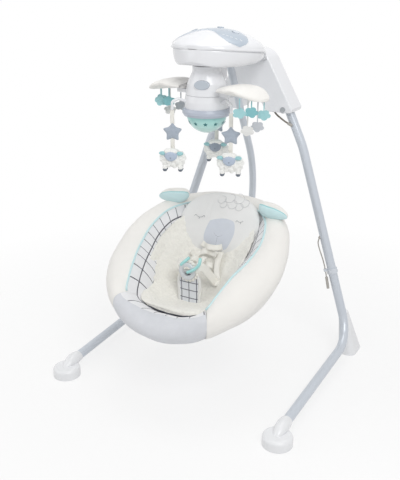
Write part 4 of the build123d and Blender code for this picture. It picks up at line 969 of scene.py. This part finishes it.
for number, (turn, reach, nearer, z, colour) in enumerate(charms):
    at = mobilePoint(wings["azimuth"] + turn, reach / 1000, z / 1000) + nearDirection * nearer / 1000
    cloud = []
    for t in around(charmCut["turns"]):
        r = charmCut["lobe"] + charmCut["scallop"] * abs(cos(2.5 * t + 0.3 * number))
        cloud.append((charmCut["stretch"] * r * cos(t), r * sin(t)))
    top = float(np.interp(reach, sectionReach, sectionZ)) / 1000 - at[2]
    bend = charmCut["bend"] * sin(number * 1.7)
    edge, base = charmCut["strip"], charmCut["stripLow"]
    strip = [(-edge, base), (edge, base), (edge, top), (-edge, top)]
    parts = []
    for shape in (cloud, strip):
        spots = [at + sideways * u + facing * (h + bend * (u / 0.01) ** 2) + upBy(v)
                 for h in (-charmCut["half"], charmCut["half"]) for u, v in shape]
        count = len(shape)
        caps = [tuple(range(count))[::-1], tuple(range(count, 2 * count))]
        parts.append((spots, caps + gridFaces(2, count)))
    charm = piece("charm" + str(number + 1), *joined(parts), colour, "housing", "felt")
    for polygon in charm.data.polygons:
        polygon.use_smooth = False
    cut = sum(u * v2 - u2 * v for (u, v), (u2, v2) in zip(cloud, cloud[1:] + cloud[:1])) / 2
    cut += 2 * edge * max(0, top - base)
    if number == 0:
        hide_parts("cloud_charms")

lamb = {"bodyZ": 0.620, "headZ": 0.632, "starZ": 0.688, "hookZ": 0.744, "reach": 88, "headSide": -0.002,
        "headOut": 0.017, "angles": {"right": -19, "rear": 101, "left": 221}, "star": (0.0245, 0.0162),
        "starDepth": 0.0065, "starSwell": 0.55, "ribbon": (0.0102, 0.0012), "ribbonBow": 0.0012}


def blobs(spheres, voxel):
    bm = bmesh.new()
    for centre, radii in spheres:
        matrix = Matrix.Translation(Vector(centre)) @ Matrix.Diagonal(Vector((*radii, 1)))
        bmesh.ops.create_icosphere(bm, subdivisions=3, radius=1, matrix=matrix)
    mesh = bpy.data.meshes.new("blobs")
    bm.to_mesh(mesh)
    bm.free()
    holder = linked("blobs", mesh)
    melt = holder.modifiers.new("melt", "REMESH")
    melt.mode = "VOXEL"
    melt.voxel_size = voxel
    soften = holder.modifiers.new("soften", "SMOOTH")
    soften.iterations = 4
    result = finalMesh(holder)
    bpy.data.objects.remove(holder)
    return [v.co.copy() for v in result.vertices], [tuple(p.vertices) for p in result.polygons]


tufts, goldenTurn, bellyR = 46, 2.39996, (0.029, 0.013, 0.020)
bodySpheres = [((0, 0, 0), bellyR)]
for step in range(tufts):
    down = 1 - 2 * (step + 0.5) / tufts
    t = step * goldenTurn
    out = sqrt(1 - down ** 2)
    spot = (bellyR[0] * out * cos(t), bellyR[1] * out * sin(t), bellyR[2] * down)
    bodySpheres.append((spot, (0.0066, 0.0058, 0.0062)))
legSpots = [(x, y) for x in (-0.020, 0.020) for y in (-0.006, 0.006)]
bodySpheres += [((x, y, -0.022), (0.0065, 0.0065, 0.007)) for x, y in legSpots]
hoofSpheres = [((x, y, -0.028), (0.0062, 0.0062, 0.0052)) for x, y in legSpots]
faceSpheres = [((0, 0, 0), (0.0165, 0.0095, 0.0155))]
capSpheres = [((x, 0.001, 0.011 - 260 * x * x * 0.02), (0.0075, 0.0085, 0.0068))
              for x in (-0.010, -0.004, 0.003, 0.010)]
earSpheres = [((sign * 0.0215, 0.002, 0.0045), (0.0100, 0.0036, 0.0052)) for sign in (-1, 1)]
shapes = {"Body": blobs(bodySpheres, 0.0016), "Hooves": blobs(hoofSpheres, 0.0012),
          "Face": blobs(faceSpheres, 0.0016), "Cap": blobs(capSpheres, 0.0014), "Ears": blobs(earSpheres, 0.0011)}
eyeLines = [[(x + u, -0.0092 + 6 * abs(u) + 0.0002, 0.0005 - 40 * u * u * 4)
             for u in np.linspace(-0.0022, 0.0022, 7)] for x in (-0.0062, 0.0062)]
noseLine = [(u, -0.0094, -0.0050) for u in np.linspace(-0.0014, 0.0014, 5)]
starRings, starTurns = 8, 80
starCorners = starOutline(*lamb["star"])
starLoop = smoothLine(starCorners + starCorners[:1], starTurns + 1)[:-1]


def turned(points, at):
    return [at + sideways * p[0] - facing * p[1] + upBy(p[2]) for p in points]


for side, angle in lamb["angles"].items():
    body = side + "_lamb"
    hook = mobilePoint(angle, lamb["reach"] / 1000, 0)
    headAt = hook + sideways * lamb["headSide"] + facing * lamb["headOut"] + upBy(lamb["headZ"])
    bodyAt = hook + upBy(lamb["bodyZ"])
    # The rear lamb's face gets a darker copy of the face blue: painted shade
    faceLook = faceBlueInShade if side == "rear" else faceBlue
    made = {}
    for part, look, at, slot in (("Body", wool, bodyAt, "plush_white"), ("Hooves", hoofGrey, bodyAt, "plush_face"),
                                 ("Face", faceLook, headAt, "plush_face"), ("Cap", wool, headAt, "plush_white"),
                                 ("Ears", feltAqua, headAt, "aqua_fabric")):
        spots, faces = shapes[part]
        made[part] = piece(side + "Lamb" + part, turned(spots, at), faces, look, body, slot)
    ruffle(made["Body"], amount=0.0008, scale=260, seed=angle)
    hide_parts(side + "_lamb_body")
    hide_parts(side + "_lamb_head")
    marks = [tube(turned(line, headAt), 0.0005, 6) for line in eyeLines]
    marks.append(tube(turned(noseLine, headAt), 0.0008, 6))
    piece(side + "LambMarks", *joined(marks), hoofGrey, body, "plush_face")
    starAt = hook + upBy(lamb["starZ"])
    spots = []
    for face, rho in lensRings(starRings):
        for x, y in starLoop:
            spots.append(starAt + sideways * x * rho + upBy(y * rho)
                         + facing * face * lamb["starDepth"] * (1 - rho ** 2) ** lamb["starSwell"])
    star = piece(side + "Star", spots, lensFaces(starRings, starTurns), starGrey, body, "star_fabric")
    finer(star)
    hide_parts(side + "_star_hanger")
    runs = {"Top": (hook + upBy(lamb["hookZ"] - 0.0004), starAt + upBy(0.021)),
            "Low": (starAt - upBy(0.013), hook + upBy(lamb["bodyZ"] + 0.018))}
    for label, (high, low) in runs.items():
        middle = (high + low) / 2 + facing * lamb["ribbonBow"]
        ribbon(side + "Ribbon" + label, [high, middle, low], *lamb["ribbon"], sideways, body, "hung",
               ["carousel_drum"])
print("mobile done")

# Power lead

leadUpper = [(62, 257, 706), (62, 257, 700), (64.5, 257, 694), (70, 257, 688.5), (78, 257, 682.5), (88, 257.3, 676),
             (97, 258.7, 670), (103.5, 260.5, 666.5)]
leadLower = [(219.7, 254.7, 342), (217.2, 252, 335.5), (219.6, 250.4, 323), (225, 249.8, 308.9), (232, 250, 292.4),
             (238.6, 249.9, 275.8), (244, 249.2, 259.2), (249, 247.6, 242.2), (252, 246.2, 231)]


def leadCurve(name, route, bevel):
    curve = bpy.data.curves.new(name, "CURVE")
    curve.dimensions = "3D"
    spline = curve.splines.new("NURBS")
    spline.points.add(len(route) - 1)
    for point, spot in zip(spline.points, route):
        point.co = (*metres(spot), 1)
    spline.order_u = 3
    spline.use_endpoint_u = True
    spline.resolution_u = 12
    curve.bevel_depth = bevel
    curve.bevel_resolution = 4
    curve.use_fill_caps = True
    return linked(name, curve)


def routePoints(route):
    plain = leadCurve("route", route, 0)
    spots = [tuple(v.co) for v in finalMesh(plain).vertices]
    bpy.data.objects.remove(plain)
    return spots


upperLine = routePoints(leadUpper)
upperLead = piece("upperLead", *tube(upperLine, 0.0025, 12), sleeveBrown, None, "cord_rubber")
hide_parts("cord_upper")
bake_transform(upperLead)
lowerLine = routePoints(leadLower)
lowerLead = leadCurve("lowerLead", leadLower, 0.00175)
lowerLead.data.materials.append(looks["cord_rubber"])
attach(lowerLead, "right_leg")
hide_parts("cord_lower")
print("lead done")

# Key icons, in millimetres: an open ring with a bar, three rising bars and a note, all plain

icons = {"power_key": [[(2.6 * sin(t), 2.6 * cos(t)) for t in np.linspace(0.6, 5.7, 20)],
                       [(0, 0.6), (0, 3.4)]],
         "speed_key": [[(-2.4, -2.4), (-2.4, -0.6)], [(0, -2.4), (0, 0.8)], [(2.4, -2.4), (2.4, 2.4)]],
         "sound_key": [[(-1.4, -2.4), (-1.4, 2.4), (2.2, 1.6)], [(-2.4, -2.4), (-1.4, -2.4)]]}
iconLine, iconProud = 0.00045, 0.0001
for key, strokes in icons.items():
    top = tree3d(nodes[key])
    low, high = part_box(key)
    middle = (low + high) / 2
    parts = []
    for line in strokes:
        spots = []
        for x, y in smoothLine(line, 6 * len(line)):
            above = Vector((middle.x + x / 1000, middle.y + y / 1000, high.z + 0.02))
            place = top.ray_cast(above, Vector((0, 0, -1)))[0]
            spots.append((place.x, place.y, place.z + iconProud))
        parts.append(tube(spots, iconLine, 6))
    piece(key.split("_")[0] + "Icon", *joined(parts), iconPale, key, "key_white")
print("icons done")


# Floor, light and camera

def seenRay(tree):
    path = tree.nodes.new("ShaderNodeLightPath").outputs
    return highest(tree, path["Is Camera Ray"], path["Is Glossy Ray"], path["Is Transmission Ray"])


stage = {"floorHalf": 4, "floorColour": (0.9, 0.9, 0.9, 1), "floorGlow": 0.72, "fade": (0.5, 1.3), "ambient": 0.5,
         "lookAt": (0, 0, 0.45), "lens": 52.34, "sensor": 36, "viewAt": (0.8421, -1.5686, 1.0575),
         "viewTurn": (69.2, 0, 29.2),
         "lights": [("keyLight", (1.7, -1.6, 2.4), 34, 1.4), ("fillLight", (-1.9, -1.2, 1.6), 10, 1.6),
                    ("topLight", (0, 0.4, 2.8), 16, 1.6)]}  # name, place, power, size
floorMesh = bpy.data.meshes.new("floor")
half = stage["floorHalf"]
floorMesh.from_pydata([(-half, -half, 0), (half, -half, 0), (half, half, 0), (-half, half, 0)], [], [(0, 1, 2, 3)])
floor = linked("floor", floorMesh)
floorLook = bpy.data.materials.new("floorLook")
floorLook.use_nodes = True
tree = floorLook.node_tree
tree.nodes.clear()
diffuse = addNode(tree, "ShaderNodeBsdfDiffuse", {"Color": stage["floorColour"]})
glow = tree.nodes.new("ShaderNodeEmission")
clear = tree.nodes.new("ShaderNodeBsdfTransparent")
place = tree.nodes.new("ShaderNodeTexCoord").outputs["Object"]
reach = addNode(tree, "ShaderNodeVectorMath", {0: place}, operation="LENGTH").outputs["Value"]
fade = addNode(tree, "ShaderNodeMapRange", {"Value": reach, "From Min": stage["fade"][0],
                                            "From Max": stage["fade"][1]})
seen = seenRay(tree)
glowing = mathNode(tree, "MULTIPLY", seen, stage["floorGlow"])
fading = mathNode(tree, "MULTIPLY", seen, fade.outputs[0])
bright = addNode(tree, "ShaderNodeMixShader", {0: glowing, 1: diffuse.outputs[0], 2: glow.outputs[0]})
faded = addNode(tree, "ShaderNodeMixShader", {0: fading, 1: bright.outputs[0], 2: clear.outputs[0]})
addNode(tree, "ShaderNodeOutputMaterial", {"Surface": faded.outputs[0]})
floorMesh.materials.append(floorLook)

world = bpy.data.worlds.new("studio")
world.use_nodes = True
scene.world = world
tree = world.node_tree
back = tree.nodes["Background"]
lit = mathNode(tree, "MULTIPLY", seenRay(tree), 1 - stage["ambient"])
tree.links.new(mathNode(tree, "ADD", lit, stage["ambient"]), back.inputs["Strength"])
back.inputs["Color"].default_value = (1, 1, 1, 1)

for name, at, power, size in stage["lights"]:
    lamp = bpy.data.lights.new(name, "AREA")
    lamp.energy = power
    lamp.size = size
    holder = linked(name, lamp)
    holder.location = at
    holder.rotation_euler = (Vector(stage["lookAt"]) - Vector(at)).to_track_quat("-Z", "Y").to_euler()

camera = bpy.data.cameras.new("camera")
camera.lens = stage["lens"]
camera.sensor_width = stage["sensor"]
viewer = linked("camera", camera)
viewer.location = stage["viewAt"]
viewer.rotation_euler = [radians(turn) for turn in stage["viewTurn"]]
scene.camera = viewer
scene.view_settings.view_transform = "Standard"

print("stage done")
